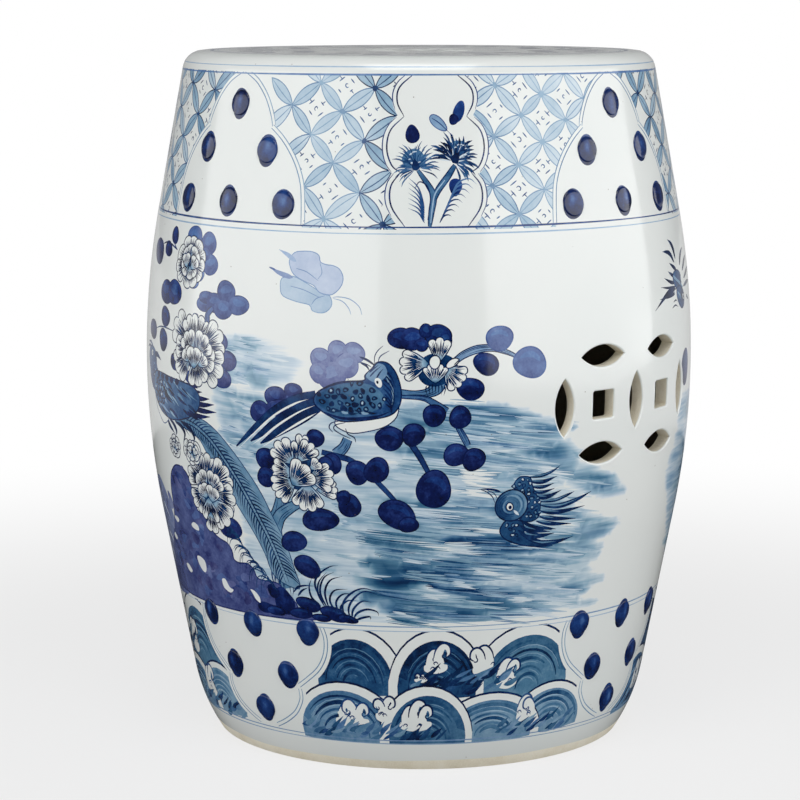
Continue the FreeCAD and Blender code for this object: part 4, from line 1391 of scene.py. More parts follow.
def main_tree(art):
    """The old tree behind the rock, with its branches."""
    for trunk in TRUNKS:
        branch(art, *trunk)
    rng = random.Random(26)
    for _ in range(34):
        start = at(rng.uniform(-33.6, -28.6), rng.uniform(128, 166))
        crack = [start, start + (rng.uniform(-1, 1.6), -7), start + (rng.uniform(-1, 2.4), -14)]
        art.flick(crack, 0.8, 0.84, 0.25)
    for bough in BRANCHES:
        branch(art, *bough)


def main_leaves(art):
    """Round leaves, dark where the light does not wash them out."""
    for leaf in LEAVES:
        round_leaf(art, *leaf)
    for leaf in LOBED_LEAVES:
        lobed_leaf(art, *leaf)
    branch(art, ((-48.6, 286), (-47.6, 290), (-47.4, 294), (-46, 298)), (4, 4.6, 4, 3), 0.6, 0.55)
    for leaf in LEFT_LEAVES:
        round_leaf(art, *leaf)
    for leaf in LEFT_LOBED_LEAVES:
        lobed_leaf(art, *leaf)
    round_leaf(art, 72.4, 251, 19, 23, -8, 0.84, 0.4)
    lobed_leaf(art, ((-53, 313.4, 12, 9), (-51, 318, 9, 8)), 0.5, 0.5, 0.2)
    art.line(places(((-70.4, 277), (-67, 279.6), (-63.6, 279.8), (-60, 279))), 1.0, 0.8, 0.3)
    art.line(places(((-69.6, 333), (-67, 334.6), (-64, 333.6), (-61, 331))), 1.3, 0.85, 0.4)
    art.line(places(((-61, 331), (-62.6, 334), (-63, 337))), 1.0, 0.85, 0.4)
    round_leaf(art, -43.6, 156.4, 22, 13, 4, 0.82, 0.7)


# The petals of each peony as (x, y, angle, reach, half of the opening, lobes), from its middle.
CENTRE_PEONY = (
    (1.3, 4.0, 86, 19.0, 17, 2), (-4.0, 3.0, 133, 18.5, 36, 3), (-1.4, 4.6, 48, 17.0, 30, 3),
    (-1.4, 4.6, 99, 13.5, 13, 1), (10.5, -12.4, 2, 14.5, 30, 3), (-5.6, -1.8, 186, 14.8, 46, 4),
    (-3.6, -8.0, 208, 18.5, 38, 4), (6.0, -5.0, 4, 17.0, 42, 4), (7.0, 0.4, 42, 9.0, 38, 2),
    (4.6, -9.0, 268, 18.2, 46, 4), (-6.2, -10.6, 47, 18.5, 43, 3),
)
BRANCH_PEONY = (
    (2.6, -0.8, 88, 15.6, 33, 3), (-3.6, -1.2, 186, 18.0, 40, 4), (6.2, -5.0, -38, 14.5, 46, 4),
    (0.4, -13.6, 90, 12.6, 46, 5),
)
LEFT_PEONY = (
    (-3, 3, 150, 26, 34, 3), (2, 3, 72, 20, 36, 3), (0, 3, 112, 20, 34, 3), (6, 1, 26, 25, 36, 3),
    (5, -4, -22, 26, 38, 3), (-5, -5, 212, 21, 40, 3), (1, -6, -76, 19, 44, 3), (-6, -2, 172, 17, 34, 2),
    (8, -5, -4, 14, 46, 2), (-2, -2, 126, 15, 48, 3), (4, -3, 52, 16, 50, 3), (-5, -9, 122, 11, 50, 2),
    (5, -11, 56, 11, 48, 2), (0, -13, 92, 15, 44, 2),
)
ROCK_PEONY = (
    (-4, 2, 160, 18, 38, 3), (0, 4, 78, 18, 38, 3), (-2, 3, 118, 18, 36, 2), (5, 1, 36, 22, 38, 3),
    (7, -5, -6, 20, 40, 3), (4, -9, -48, 21, 40, 3), (-4, -6, 214, 17, 42, 3), (0, -8, -92, 18, 38, 3),
    (-1, -2, 128, 13, 48, 2), (4, -3, 54, 14, 50, 3), (-2, -9, 116, 11, 48, 2), (3, -11, 74, 12, 46, 2),
)


def main_blossoms(art):
    """The open peonies of the tree, the one over the perched bird with its heart and stamens."""
    peony(art, -24.4, 201.5, CENTRE_PEONY, 31)
    peony(art, 2.7, 272.0, BRANCH_PEONY, 32)
    art.outlined(blob(2.7, 271.4, 6.8, 8.2, 0, random.Random(2), 0.03), 0.75, 0.0, 0.92)
    art.outlined(blob(6.1, 270.8, 8.4, 4.8, 32, random.Random(3), 0.05), 0.7, 0.0, 0.92)
    for index in range(4):
        start = at(6.4 + index * 0.22, 269.6 + index * 0.7)
        art.flick([start, start + (0.9, 0.9), start + (1.6, 2.0)], 0.7, 0.9, 0.2, steps=2)
    for index in range(7):
        start = at(1.2 + index * 0.55, 258.6 - abs(index - 3) * 0.5)
        stamen = [start, start + ((index - 3) * 0.25, -2.4), start + ((index - 3) * -0.1, -6.5)]
        art.flick(stamen, 0.9, 0.9, 0.2, steps=2)
    peony(art, -51.6, 270.5, LEFT_PEONY, 35)
    full_peony(art, -55, 324.6, 36, 33, 37, 6, 4)
    peony(art, -49.4, 182.5, ROCK_PEONY, 41)
    fan_petal(art, at(-49.3, 165), -96, 15, 34, 2, random.Random(40))
    full_peony(art, -53.6, 202.6, 22, 16, 39, 5, 3)
    full_peony(art, -61, 203, 16, 16, 43, 5, 3)


def painted_side(art):
    """Birds among peonies over the water, from the left side of the stool round to the double coin."""
    water(art)
    far_bird(art)
    butterfly(art)
    main_tree(art)
    pheasant(art)
    rock(art)
    main_leaves(art)
    grass(art)
    main_blossoms(art)
    perched_bird(art)
    swallow(art)


def main_scene(art):
    """The scene in front, and the same scene again on the other side of the stool."""
    marks, washes = len(art.marks), len(art.washes)
    painted_side(art)
    art.again(marks, washes, 180)


# On the seat: how far out and how far round from its flower a stem or a leaf lies, and a leaf's size.
SEAT_STEM = ((96, 8), (110, 22), (104, 34), (112, 45))
SEAT_LEAVES = ((84, 21, 20, 15), (118, 17, 20, 15), (93, 33, 19, 14), (122, 31, 18, 14))


def seat_edge_paint(art):
    """Two turned lines round the rounded edge of the seat."""
    art.bare(SEAT_LINES[0] + 0.6, STOOL_HEIGHT + 30)
    art.ring(SEAT_LINES[0], 1.2, 0.5, 0.4)
    art.ring(SEAT_LINES[1], 0.8, 0.28, 0.4)


def foot_paint(art):
    """The foot is wiped clean of glaze just above the floor."""
    x = np.arange(-180, 181, 2.0)
    level = WIPED_FOOT + 0.5 * np.sin(np.radians(x * 3)) + 0.25 * np.sin(np.radians(x * 11 + 40))
    level[-1] = level[0]
    edge = np.stack((x * DEGREE, level), 1)
    under = np.stack((x[::-1] * DEGREE, np.full(len(x), -2.0)), 1)
    art.shape(np.vstack((under, edge)), UNGLAZED)


def seat_ring(art, radius, width, tone):
    """A turned line round the top of the seat."""
    t = np.radians(np.arange(0, 360, 3))
    around = np.stack((np.cos(t), np.sin(t)), 1)
    outer, inner = radius + width / 2, radius - width / 2
    band = np.vstack((around * outer, around[:1] * outer, around[:1] * inner, around[::-1] * inner))
    art.shape(band, tone, 0.35)


def seat_painting():
    """The top of the seat, drawn from above in millimetres: peonies and leaves between turned lines."""
    art = Painting()
    seat_ring(art, 138.4, 2.8, 0.66)
    seat_ring(art, 134.5, 0.8, 0.34)
    for index in range(4):
        turn = 45 + 90 * index
        for side in (-1, 1):
            stem = [turned((reach, 0), turn + side * swing) for reach, swing in SEAT_STEM]
            art.line(np.array(stem), 2.0, 0.72, 0.25, 0.4)
            for reach, swing, wide, tall in SEAT_LEAVES:
                x, y = turned((reach, 0), turn + side * swing)
                round_leaf(art, x / DEGREE, y, wide, tall, turn + side * (swing + 40), 0.86, 0.55)
        x, y = turned((104, 0), turn)
        full_peony(art, x / DEGREE, y, 46, 44, 200 + index)
        x, y = turned((110, 0), turn + 45)
        full_peony(art, x / DEGREE, y, 24, 24, 210 + index, 5, 3)
    seat_ring(art, 60.0, 0.8, 0.4)
    seat_ring(art, 56.5, 1.2, 0.66)
    return art


# The thrown shape, laid over the flat drawing.
def wall_radius(height, depth=0.0):
    """The wall's radius at a height, at a depth under its outer face."""
    z = np.asarray(height, float)
    centre = BELLY_RADIUS - BELLY_ARC
    arc = BELLY_ARC - depth
    top_z = BELLY_HEIGHT + arc * math.sin(UPPER_LEAN)
    top_r = centre + arc * math.cos(UPPER_LEAN)
    low_z = BELLY_HEIGHT - arc * math.sin(LOWER_LEAN)
    low_r = centre + arc * math.cos(LOWER_LEAN)
    face_z = BELLY_HEIGHT - BELLY_ARC * math.sin(LOWER_LEAN)
    face_r = centre + BELLY_ARC * math.cos(LOWER_LEAN)
    curl_r = face_r - (face_z - CURL_HEIGHT) * math.tan(LOWER_LEAN)
    chord_r = -CURL_HEIGHT * math.tan(LOWER_LEAN) - FOOT_TUCK
    inward = -chord_r * math.cos(LOWER_LEAN) - CURL_HEIGHT * math.sin(LOWER_LEAN)
    curl_arc = (chord_r ** 2 + CURL_HEIGHT ** 2) / (2 * inward)
    curl_centre_r = curl_r - curl_arc * math.cos(LOWER_LEAN)
    curl_centre_z = CURL_HEIGHT + curl_arc * math.sin(LOWER_LEAN)
    curl_arc -= depth
    curl_top = curl_centre_z - curl_arc * math.sin(LOWER_LEAN)
    radius = centre + np.sqrt(np.maximum(arc ** 2 - (z - BELLY_HEIGHT) ** 2, 0.0))
    radius = np.where(z > top_z, top_r - (z - top_z) * math.tan(UPPER_LEAN), radius)
    radius = np.where(z < low_z, low_r - (low_z - z) * math.tan(LOWER_LEAN), radius)
    curled = curl_centre_r + np.sqrt(np.maximum(curl_arc ** 2 - (z - curl_centre_z) ** 2, 0.0))
    return np.where(z < curl_top, curled, radius)


def facing(flat):
    """The sine and the cosine of the CAD angle at places on the flat drawing."""
    angle = np.radians(flat[:, 0] / DEGREE + VIEW_TURN)
    return np.sin(angle), np.cos(angle)


def wall_point(flat, depth=0.0):
    """Places on the wall, in metres, from places on the flat drawing."""
    sine, cosine = facing(flat)
    radius = wall_radius(flat[:, 1], depth)
    return np.stack((radius * sine, -radius * cosine, flat[:, 1]), 1) / 1000


def wall_normal(flat):
    """The outward directions of the wall at places on the flat drawing."""
    sine, cosine = facing(flat)
    slope = (wall_radius(flat[:, 1] + 0.05) - wall_radius(flat[:, 1] - 0.05)) / 0.1
    normal = np.stack((sine, -cosine, -slope), 1)
    return normal / np.linalg.norm(normal, axis=1, keepdims=True)


# The seat's edge: it goes on straight from the wall and then rounds over to the flat top.
EDGE_TURN = math.pi / 2 - UPPER_LEAN
EDGE_SETBACK = SEAT_EDGE * math.tan(EDGE_TURN / 2)
EDGE_STRAIGHT = (STOOL_HEIGHT - EDGE_SETBACK * math.cos(UPPER_LEAN) - SEAMS[3]) / math.cos(UPPER_LEAN)
EDGE_LENGTH = EDGE_STRAIGHT + SEAT_EDGE * EDGE_TURN


def seat_edge_profile(rise):
    """Radius, height and outward slope of the seat's edge, at a distance up its outline from the seam."""
    turn = UPPER_LEAN + np.clip((rise - EDGE_STRAIGHT) / SEAT_EDGE, 0.0, EDGE_TURN)
    centre_r = float(wall_radius(STOOL_HEIGHT)) - EDGE_SETBACK
    centre_z = STOOL_HEIGHT - SEAT_EDGE
    straight_z = SEAMS[3] + rise * math.cos(UPPER_LEAN)
    radius = np.where(rise < EDGE_STRAIGHT, wall_radius(straight_z), centre_r + SEAT_EDGE * np.cos(turn))
    height = np.where(rise < EDGE_STRAIGHT, straight_z, centre_z + SEAT_EDGE * np.sin(turn))
    return radius, height, turn


def seat_edge_point(flat):
    """Places on the seat's edge, in metres, from places on the flat drawing."""
    sine, cosine = facing(flat)
    radius, height, _ = seat_edge_profile(flat[:, 1] - SEAMS[3])
    return np.stack((radius * sine, -radius * cosine, height), 1) / 1000


def seat_edge_normal(flat):
    """The outward directions of the seat's edge at places on the flat drawing."""
    sine, cosine = facing(flat)
    turn = seat_edge_profile(flat[:, 1] - SEAMS[3])[2]
    return np.stack((sine * np.cos(turn), -cosine * np.cos(turn), np.sin(turn)), 1)


# The skins. A sheet of triangles is worked out on the flat drawing with every brush mark's outline as
# edges, and is then laid on the thrown shape.
CUT_LEFT = -90.0 * DEGREE
CUT_RIGHT = 270.0 * DEGREE
FULL_TURN = 360.0 * DEGREE
WALL_GRID = 6.0
EDGE_GRID = 4.0
FOOT_GRID = 5.0
INNER_GRID = 14.0
WELD = 0.012
# The finishes of a piece, in the order of its material slots, and the tone of a mark that wipes off glaze.
PAINTED, CLAY, INSIDE = 0, 1, 2
UNGLAZED = -1.0


def split_edges(line, longest):
    """A closed line with points added so that no edge is longer than longest."""
    following = np.roll(line, -1, 0)
    runs = following - line
    counts = np.maximum(np.ceil(np.linalg.norm(runs, axis=1) / longest).astype(int), 1)
    step = np.arange(counts.sum()) - np.repeat(np.cumsum(counts) - counts, counts)
    return np.repeat(line, counts, 0) + np.repeat(runs, counts, 0) * (
        step / np.repeat(counts, counts)
    )[:, None]


def triangulated(loops, paths, dots):
    """Triangles over everything drawn, with each loop and path kept as edges."""
    points, edges, base = [], [], 0
    for line, closed in [(loop, True) for loop in loops] + [(path, False) for path in paths]:
        index = np.arange(len(line)) + base
        pairs = np.stack((index, np.roll(index, -1)), 1)
        edges.append(pairs if closed else pairs[:-1])
        points.append(line)
        base += len(line)
    points.append(dots)
    drawn = [Vector(point) for point in np.vstack(points).tolist()]
    found = delaunay_2d_cdt(drawn, np.vstack(edges).tolist(), [], 0, WELD, False)
    return np.array([point[:] for point in found[0]]), np.array(found[2])


def winding(points, outline):
    """How many times an outline goes round each point."""
    a, b = outline, np.roll(outline, -1, 0)
    count = np.zeros(len(points), int)
    step = max(1, 1500000 // len(outline))
    for start in range(0, len(points), step):
        x = points[start:start + step, 0:1]
        y = points[start:start + step, 1:2]
        side = (b[:, 0] - a[:, 0]) * (y - a[:, 1]) - (x - a[:, 0]) * (b[:, 1] - a[:, 1])
        up = (a[:, 1] <= y) & (b[:, 1] > y) & (side > 0)
        down = (a[:, 1] > y) & (b[:, 1] <= y) & (side < 0)
        count[start:start + step] = up.sum(1) - down.sum(1)
    return count


def boxed(points, low, high):
    """The numbers of the points inside a box."""
    return np.flatnonzero(((points > low) & (points < high)).all(1))


def edge_distances(points, outline):
    """For each edge of an outline, every point's distance from it and its share of the way along it."""
    for a, b in zip(outline, np.roll(outline, -1, 0)):
        run = b - a
        share = np.clip(((points - a) @ run) / max(run @ run, 1e-9), 0, 1)
        yield np.linalg.norm(points - a - share[:, None] * run, axis=1), share


def top_marks(marks, centres):
    """The number of the last mark laid over each place, or -1 for bare glaze."""
    order = np.argsort(centres[:, 0])
    across = centres[order, 0]
    owner = np.full(len(centres), -1)
    for number, mark in enumerate(marks):
        low, high = mark[0].min(0), mark[0].max(0)
        first, last = np.searchsorted(across, (low[0], high[0]))
        near = order[first:last]
        near = near[(centres[near, 1] > low[1]) & (centres[near, 1] < high[1])]
        if len(near):
            owner[near[winding(centres[near], mark[0]) != 0]] = number
    return owner


def wash_field(washes, points):
    """How strongly the pale washes cover each place, with soft edges, and their hue."""
    strength = np.zeros(len(points))
    hues = np.full(len(points), 0.3)
    for outline, tone, feather, hue in washes:
        near = boxed(points, outline.min(0) - feather, outline.max(0) + feather)
        if not len(near):
            continue
        inside = winding(points[near], outline) != 0
        away = np.full(len(near), 1e9)
        for distance, _ in edge_distances(points[near], outline):
            away = np.minimum(away, distance)
        signed = np.where(inside, away, -away) / feather
        level = np.clip(signed * 0.5 + 0.5, 0, 1)
        level = tone * level * level * (3 - 2 * level)
        stronger = level > strength[near]
        strength[near[stronger]] = level[stronger]
        hues[near[stronger]] = hue
    return strength, hues


def copies(items, left, right, low, high):
    """Marks or washes that touch a window of the drawing, repeated where they pass the cut."""
    found = []
    for outline, *rest in items:
        for shift in (-FULL_TURN, 0.0, FULL_TURN):
            x0, x1 = outline[:, 0].min() + shift, outline[:, 0].max() + shift
            if x1 < left or x0 > right or outline[:, 1].max() < low or outline[:, 1].min() > high:
                continue
            moved = rest
            if shift and isinstance(rest[-1], tuple):
                start, end, tone = rest[-1]
                moved = (*rest[:-1], (start + (shift, 0), end + (shift, 0), tone))
            found.append((outline + (shift, 0), *moved))
    return found


def paint_of(art, flat, faces, window):
    """Tone, hue and wash at each corner of each face, and each face's material slot."""
    marks = copies(art.marks, *window)
    owner = top_marks(marks, flat[faces].mean(1))
    strength, hues = wash_field(copies(art.washes, *window), flat)
    paint = np.zeros((len(faces), 3, 3))
    paint[:, :, 1] = hues[faces]
    paint[:, :, 2] = np.where((owner < 0)[:, None], strength[faces], 0.0)
    if marks:
        tones = np.array([mark[1] for mark in marks] + [0.0])
        hue = np.array([mark[2] for mark in marks] + [0.0])
        marked = owner >= 0
        paint[:, :, 0] = tones[owner][:, None] * marked[:, None]
        paint[marked, :, 1] = hue[owner[marked]][:, None]
        for number in np.unique(owner[marked]):
            fade = marks[number][3]
            if fade is not None:
                mine = np.flatnonzero(owner == number)
                run = np.subtract(fade[1], fade[0])
                share = np.clip((flat[faces[mine]] - fade[0]) @ run / max(run @ run, 1e-9), 0, 1)
                paint[mine, :, 0] = tones[number] + (fade[2] - tones[number]) * share
    unglazed = (owner >= 0) & (paint[:, 0, 0] < 0)
    paint[unglazed] = 0.0
    return paint, np.where(unglazed, CLAY, PAINTED)


def along(loop, points):
    """For points that lie on a loop, their numbers and their places along it, in order."""
    near = boxed(points, loop.min(0) - 0.1, loop.max(0) + 0.1)
    best, place = np.full(len(near), 1e9), np.zeros(len(near))
    for index, (away, share) in enumerate(edge_distances(points[near], loop)):
        closer = away < best
        best[closer], place[closer] = away[closer], index + share[closer]
    on = best < 2 * WELD
    near, place = near[on], place[on] % len(loop)
    order = np.argsort(place)
    return near[order], place[order]


def zipped(outer, outer_places, inner, inner_places, period):
    """Triangles between two closed rings, each with rising places along it."""
    faces = []
    i = j = 0
    while i < len(outer) or j < len(inner):
        here, there = outer[i % len(outer)], inner[j % len(inner)]
        next_out = outer_places[(i + 1) % len(outer)] + period * ((i + 1) // len(outer))
        next_in = inner_places[(j + 1) % len(inner)] + period * ((j + 1) // len(inner))
        if j >= len(inner) or (i < len(outer) and next_out <= next_in):
            i += 1
            faces.append((here, outer[i % len(outer)], there))
        else:
            j += 1
            faces.append((here, inner[j % len(inner)], there))
    return np.array(faces)


def ring_corners(faces, first, second):
    """For faces between two rings, each corner's row in the rings' values, the first ring's rows before."""
    row = {number: index for index, number in enumerate(np.concatenate((first, second)).tolist())}
    return np.array([[row[corner] for corner in face] for face in faces.tolist()])


class Skin:
    """A piece's mesh as it is put together: places, faces and what each face's corners carry."""

    def __init__(self):
        self.points = np.zeros((0, 3))
        self.faces = []
        self.normals = []
        self.paint = []
        self.uv = []
        self.slots = []
        self.smooth = []

    def add_points(self, points):
        """Adds places in metres and returns their numbers."""
        first = len(self.points)
        self.points = np.vstack((self.points, points))
        return first + np.arange(len(points))

    def add_faces(self, faces, uv, normals=None, paint=None, slot=PAINTED, smooth=True):
        """Faces with a UV place for each corner. Corners with no normal of their own get a worked out one."""
        count = len(faces)
        blank = np.zeros((count, 3, 3))
        self.faces.append(faces)
        self.uv.append(uv)
        self.normals.append(blank if normals is None else normals)
        self.paint.append(blank if paint is None else paint)
        self.slots.append(np.broadcast_to(slot, count).astype(np.int32))
        self.smooth.append(np.full(count, smooth))

    def add_seam(self, faces, spot, slot):
        """Hidden flat faces that all lie at one spot of the UV square."""
        self.add_faces(faces, np.full((len(faces), 3, 2), spot), slot=slot, smooth=False)

    def made(self, name, materials):
        """The finished object, with its brush marks in the attribute called paint."""
        faces = np.vstack(self.faces)
        normals, paint, uv = np.vstack(self.normals), np.vstack(self.paint), np.vstack(self.uv)
        slots, smooth = np.concatenate(self.slots), np.concatenate(self.smooth)
        _, first, numbers = np.unique(
            np.round(self.points, 5), axis=0, return_index=True, return_inverse=True
        )
        faces = numbers.reshape(-1)[faces]
        real = (faces[:, 0] != faces[:, 1]) & (faces[:, 1] != faces[:, 2]) & (faces[:, 2] != faces[:, 0])
        faces, normals, paint, uv = faces[real], normals[real], paint[real], uv[real]
        used, numbers = np.unique(faces, return_inverse=True)
        mesh = bpy.data.meshes.new(name)
        mesh.from_pydata(self.points[first[used]].tolist(), [], numbers.reshape(-1, 3).tolist())
        mesh.polygons.foreach_set("use_smooth", smooth[real])
        mesh.polygons.foreach_set("material_index", slots[real])
        colours = np.ones((len(faces) * 3, 4), np.float32)
        colours[:, :3] = paint.reshape(-1, 3)
        mesh.attributes.new("paint", "FLOAT_COLOR", "CORNER").data.foreach_set("color", colours.ravel())
        mesh.uv_layers.new(name="OFBake").data.foreach_set("uv", uv.reshape(-1).astype(np.float32))
        for material in materials:
            mesh.materials.append(material)
        mesh.normals_split_custom_set(normals.reshape(-1, 3).tolist())
        made = bpy.data.objects.new(name, mesh)
        bpy.context.scene.collection.objects.link(made)
        return made


# The UV square of a piece, in millimetres before it is scaled down to one.
UV_GAP = 3.0
UV_MARGIN = 2.0
UV_STRIP = 24.0
# How far from a hole's middle its cut face runs in the UV square, as shares of the hole's own reach.
CUT_FACE_SHARES = (0.7, 0.2)
# How far apart the border's points are, in degrees, on the outer and on the plain inner skins.
TURN_STEP = 1.0
INNER_TURN_STEP = 3.0


class Unrolled:
    """Where a band of the wall lies in the piece's UV square: equal rows, one above the other."""

    def __init__(self, low, high, rows, lift=1.0, span=0.0):
        self.low, self.rows, self.lift = low, rows, lift
        self.row_width = FULL_TURN / rows
        self.pitch = high - low + UV_GAP
        self.span = max(self.row_width + UV_MARGIN, rows * self.pitch + UV_STRIP + UV_MARGIN, span)

    def outside(self, places):
        """UV places for faces given as flat places of their corners."""
        row = np.floor((places[:, :, 0].mean(1) - CUT_LEFT) / self.row_width).clip(0, self.rows - 1)[:, None]
        u = places[:, :, 0] - CUT_LEFT - row * self.row_width + UV_MARGIN / 2
        v = places[:, :, 1] - self.low + row * self.pitch + self.lift
        return np.stack((u, v), 2) / self.span

    def inside(self, places):
        """UV places in the narrow strip kept for the plain inner faces."""
        u = (places[:, :, 0] - CUT_LEFT) / FULL_TURN * (self.span - UV_MARGIN) + UV_MARGIN / 2
        rise = (places[:, :, 1] - self.low) / self.pitch * (UV_STRIP - 2 * UV_MARGIN)
        return np.stack((u, rise + self.rows * self.pitch + UV_MARGIN), 2) / self.span


def staggered(left, right, low, high, step):
    """A grid of places with every other row shifted by half a step."""
    rows = max(int(round((high - low) / (step * 0.87))), 1)
    found = []
    for row in range(1, rows):
        shift = step / 2 if row % 2 else 0.0
        x = np.arange(left + step / 2 + shift, right - step / 2, step)
        found.append(np.stack((x, np.full(len(x), low + (high - low) * row / rows)), 1))
    return np.vstack(found) if found else np.zeros((0, 2))


def rise_steps(low, high, step):
    """Heights from low to high, about a step apart."""
    return np.linspace(low, high, max(int(round((high - low) / step)), 1) + 1)


def frame_loop(low, high, turn_step, rise_step):
    """The border of a band of the drawing, from cut to cut."""
    x = np.linspace(CUT_LEFT, CUT_RIGHT, int(round(360 / turn_step)) + 1)
    y = rise_steps(low, high, rise_step)
    under = np.stack((x, np.full(len(x), low)), 1)
    right = np.stack((np.full(len(y), CUT_RIGHT), y), 1)
    over = np.stack((x, np.full(len(x), high)), 1)[::-1]
    left = np.stack((np.full(len(y), CUT_LEFT), y), 1)[::-1]
    return np.vstack((under[:-1], right[:-1], over[:-1], left[:-1]))


def sheet(art, low, high, holes, rows, turn_step, grid):
    """A band of the drawing as triangles, with the holes left out: places, faces, paint and slots."""
    window = (CUT_LEFT, CUT_RIGHT, low, high)
    loops = [frame_loop(low, high, turn_step, grid)] + list(holes)
    loops += [split_edges(mark[0], grid) for mark in copies(art.marks, *window)]
    y = rise_steps(low, high, grid)
    paths = [np.stack((np.full(len(y), x), y), 1) for x in CUT_LEFT + FULL_TURN * np.arange(1, rows) / rows]
    flat, faces = triangulated(loops, paths, staggered(CUT_LEFT, CUT_RIGHT, low, high, grid))
    centres = flat[faces].mean(1)
    keep = (centres[:, 0] > CUT_LEFT) & (
        centres[:, 0] < CUT_RIGHT
    ) & (centres[:, 1] > low) & (centres[:, 1] < high)
    for hole in holes:
        near = boxed(centres, hole.min(0), hole.max(0))
        near = near[keep[near]]
        keep[near[winding(centres[near], hole) != 0]] = False
    faces = faces[keep]
    return (flat, faces, *paint_of(art, flat, faces, window))


def painted_outside(skin, unrolled, art, low, high, holes, grid, point=wall_point, normal=wall_normal):
    """Adds a band's painted outer sheet. Returns its flat places, its faces and its points' numbers."""
    flat, faces, paint, slots = sheet(art, low, high, holes, unrolled.rows, TURN_STEP, grid)
    numbers = skin.add_points(point(flat))
    skin.add_faces(numbers[faces], unrolled.outside(flat[faces]), normal(flat)[faces], paint, slots)
    return flat, faces, numbers


def level_ring(flat, faces, height):
    """The vertices used by faces at a height, with their places round it."""
    used = np.unique(faces)
    on = used[np.abs(flat[used, 1] - height) < 1e-3]
    on = on[flat[on, 0] > CUT_LEFT + 1e-3]
    on = on[np.argsort(flat[on, 0])]
    return on, flat[on, 0]


def hole_places(outline, angle, depth):
    """A straight hole's outline, given sideways and up, where it comes through the wall at a depth."""
    radius = wall_radius(outline[:, 1], depth)
    swing = np.degrees(np.arcsin(outline[:, 0] / radius))
    turn = (angle + swing - VIEW_TURN + 90.0) % 360.0 - 90.0
    return np.stack((turn * DEGREE, outline[:, 1]), 1)


def leaf_outline(upright, steps=14):
    """A pointed leaf of two arcs, anticlockwise from its left or lower tip."""
    half, rise = LEAF_LENGTH / 2, LEAF_WIDTH / 2
    radius = (half ** 2 + rise ** 2) / (2 * rise)
    reach = math.asin(half / radius)
    t = np.linspace(-reach, reach, steps + 1)
    under = np.stack((radius * np.sin(t), radius - rise - radius * np.cos(t)), 1)
    over = -under
    outline = np.vstack((under[:-1], over[:-1]))
    return np.stack((-outline[:, 1], outline[:, 0]), 1) if upright else outline


def square_outline():
    """A square with slightly softened corners, anticlockwise."""
    half = COIN_SQUARE / 2 - COIN_CORNER
    t = np.radians(np.arange(0, 360, 22.5))
    t = np.sort(np.concatenate((t, np.radians((90, 180, 270)))))
    signs = np.array([(1, 1)] * 5 + [(-1, 1)] * 5 + [(-1, -1)] * 5 + [(1, -1)] * 4, float)
    outline = signs * half + COIN_CORNER * np.stack((np.cos(t), np.sin(t)), 1)
    return split_edges(outline, 4.0)


def double_coin_holes():
    """The outlines of one double coin's holes, each with the swing it is cut at, in degrees."""
    reach = math.degrees(LEAF_REACH / float(wall_radius(COIN_HEIGHT)))
    lift = np.array((0.0, COIN_HEIGHT))
    holes = [(leaf_outline(True) + lift, swing) for swing in (-2 * reach, 0.0, 2 * reach)]
    for swing in (-reach, reach):
        holes.append((square_outline() + lift, swing))
        for rise in (-LEAF_REACH, LEAF_REACH):
            holes.append((leaf_outline(False) + lift + (0.0, rise), swing))
    return holes


def side_holes():
    """Every hole through the barrel, as an outline and the CAD angle that it faces."""
    return [(outline, opening + swing) for opening in SIDE_OPENINGS for outline, swing in double_coin_holes()]


def lip_rings(outline):
    """The rings of the rounded lip round a hole: each one's outline, its depth and its bend in radians."""
    bends = [math.radians(turn) for turn in LIP_TURNS]
    return [(inset(outline, -LIP * (1 - math.sin(bend))), LIP * (1 - math.cos(bend)), bend) for bend in bends]


def wall_piece(name, art, low, high, materials, holes=(), rows=4):
    """A thrown section of the wall: painted outer skin, plain inner skin, and the cut faces between."""
    skin = Skin()
    unrolled = Unrolled(low, high, rows)
    lips = [lip_rings(outline) for outline, angle in holes]
    angles = [angle for outline, angle in holes]
    openings = [hole_places(rings[0][0], angle, 0.0) for rings, angle in zip(lips, angles)]
    backs = [hole_places(outline, angle, WALL) for outline, angle in holes]
    flat, faces, numbers = painted_outside(skin, unrolled, art, low, high, openings, WALL_GRID)

    back, back_faces, *_ = sheet(Painting(), low, high, backs, 1, INNER_TURN_STEP, INNER_GRID)
    back_numbers = skin.add_points(wall_point(back, WALL))
    back_faces = back_faces[:, ::-1]
    skin.add_faces(back_numbers[back_faces], unrolled.inside(back[back_faces]), slot=INSIDE)

    for height, upwards in ((low, False), (high, True)):
        ring, ring_places = level_ring(flat, faces, height)
        back_ring, back_places = level_ring(back, back_faces, height)
        seam = zipped(numbers[ring], ring_places, back_numbers[back_ring], back_places, FULL_TURN)
        skin.add_seam(seam if upwards else seam[:, ::-1], 0.001, INSIDE)

    for rings, angle, opening, behind in zip(lips, angles, openings, backs):
        add_lip(skin, unrolled, rings, angle, (opening, flat, numbers), (behind, back, back_numbers))
    return skin.made(name, materials)


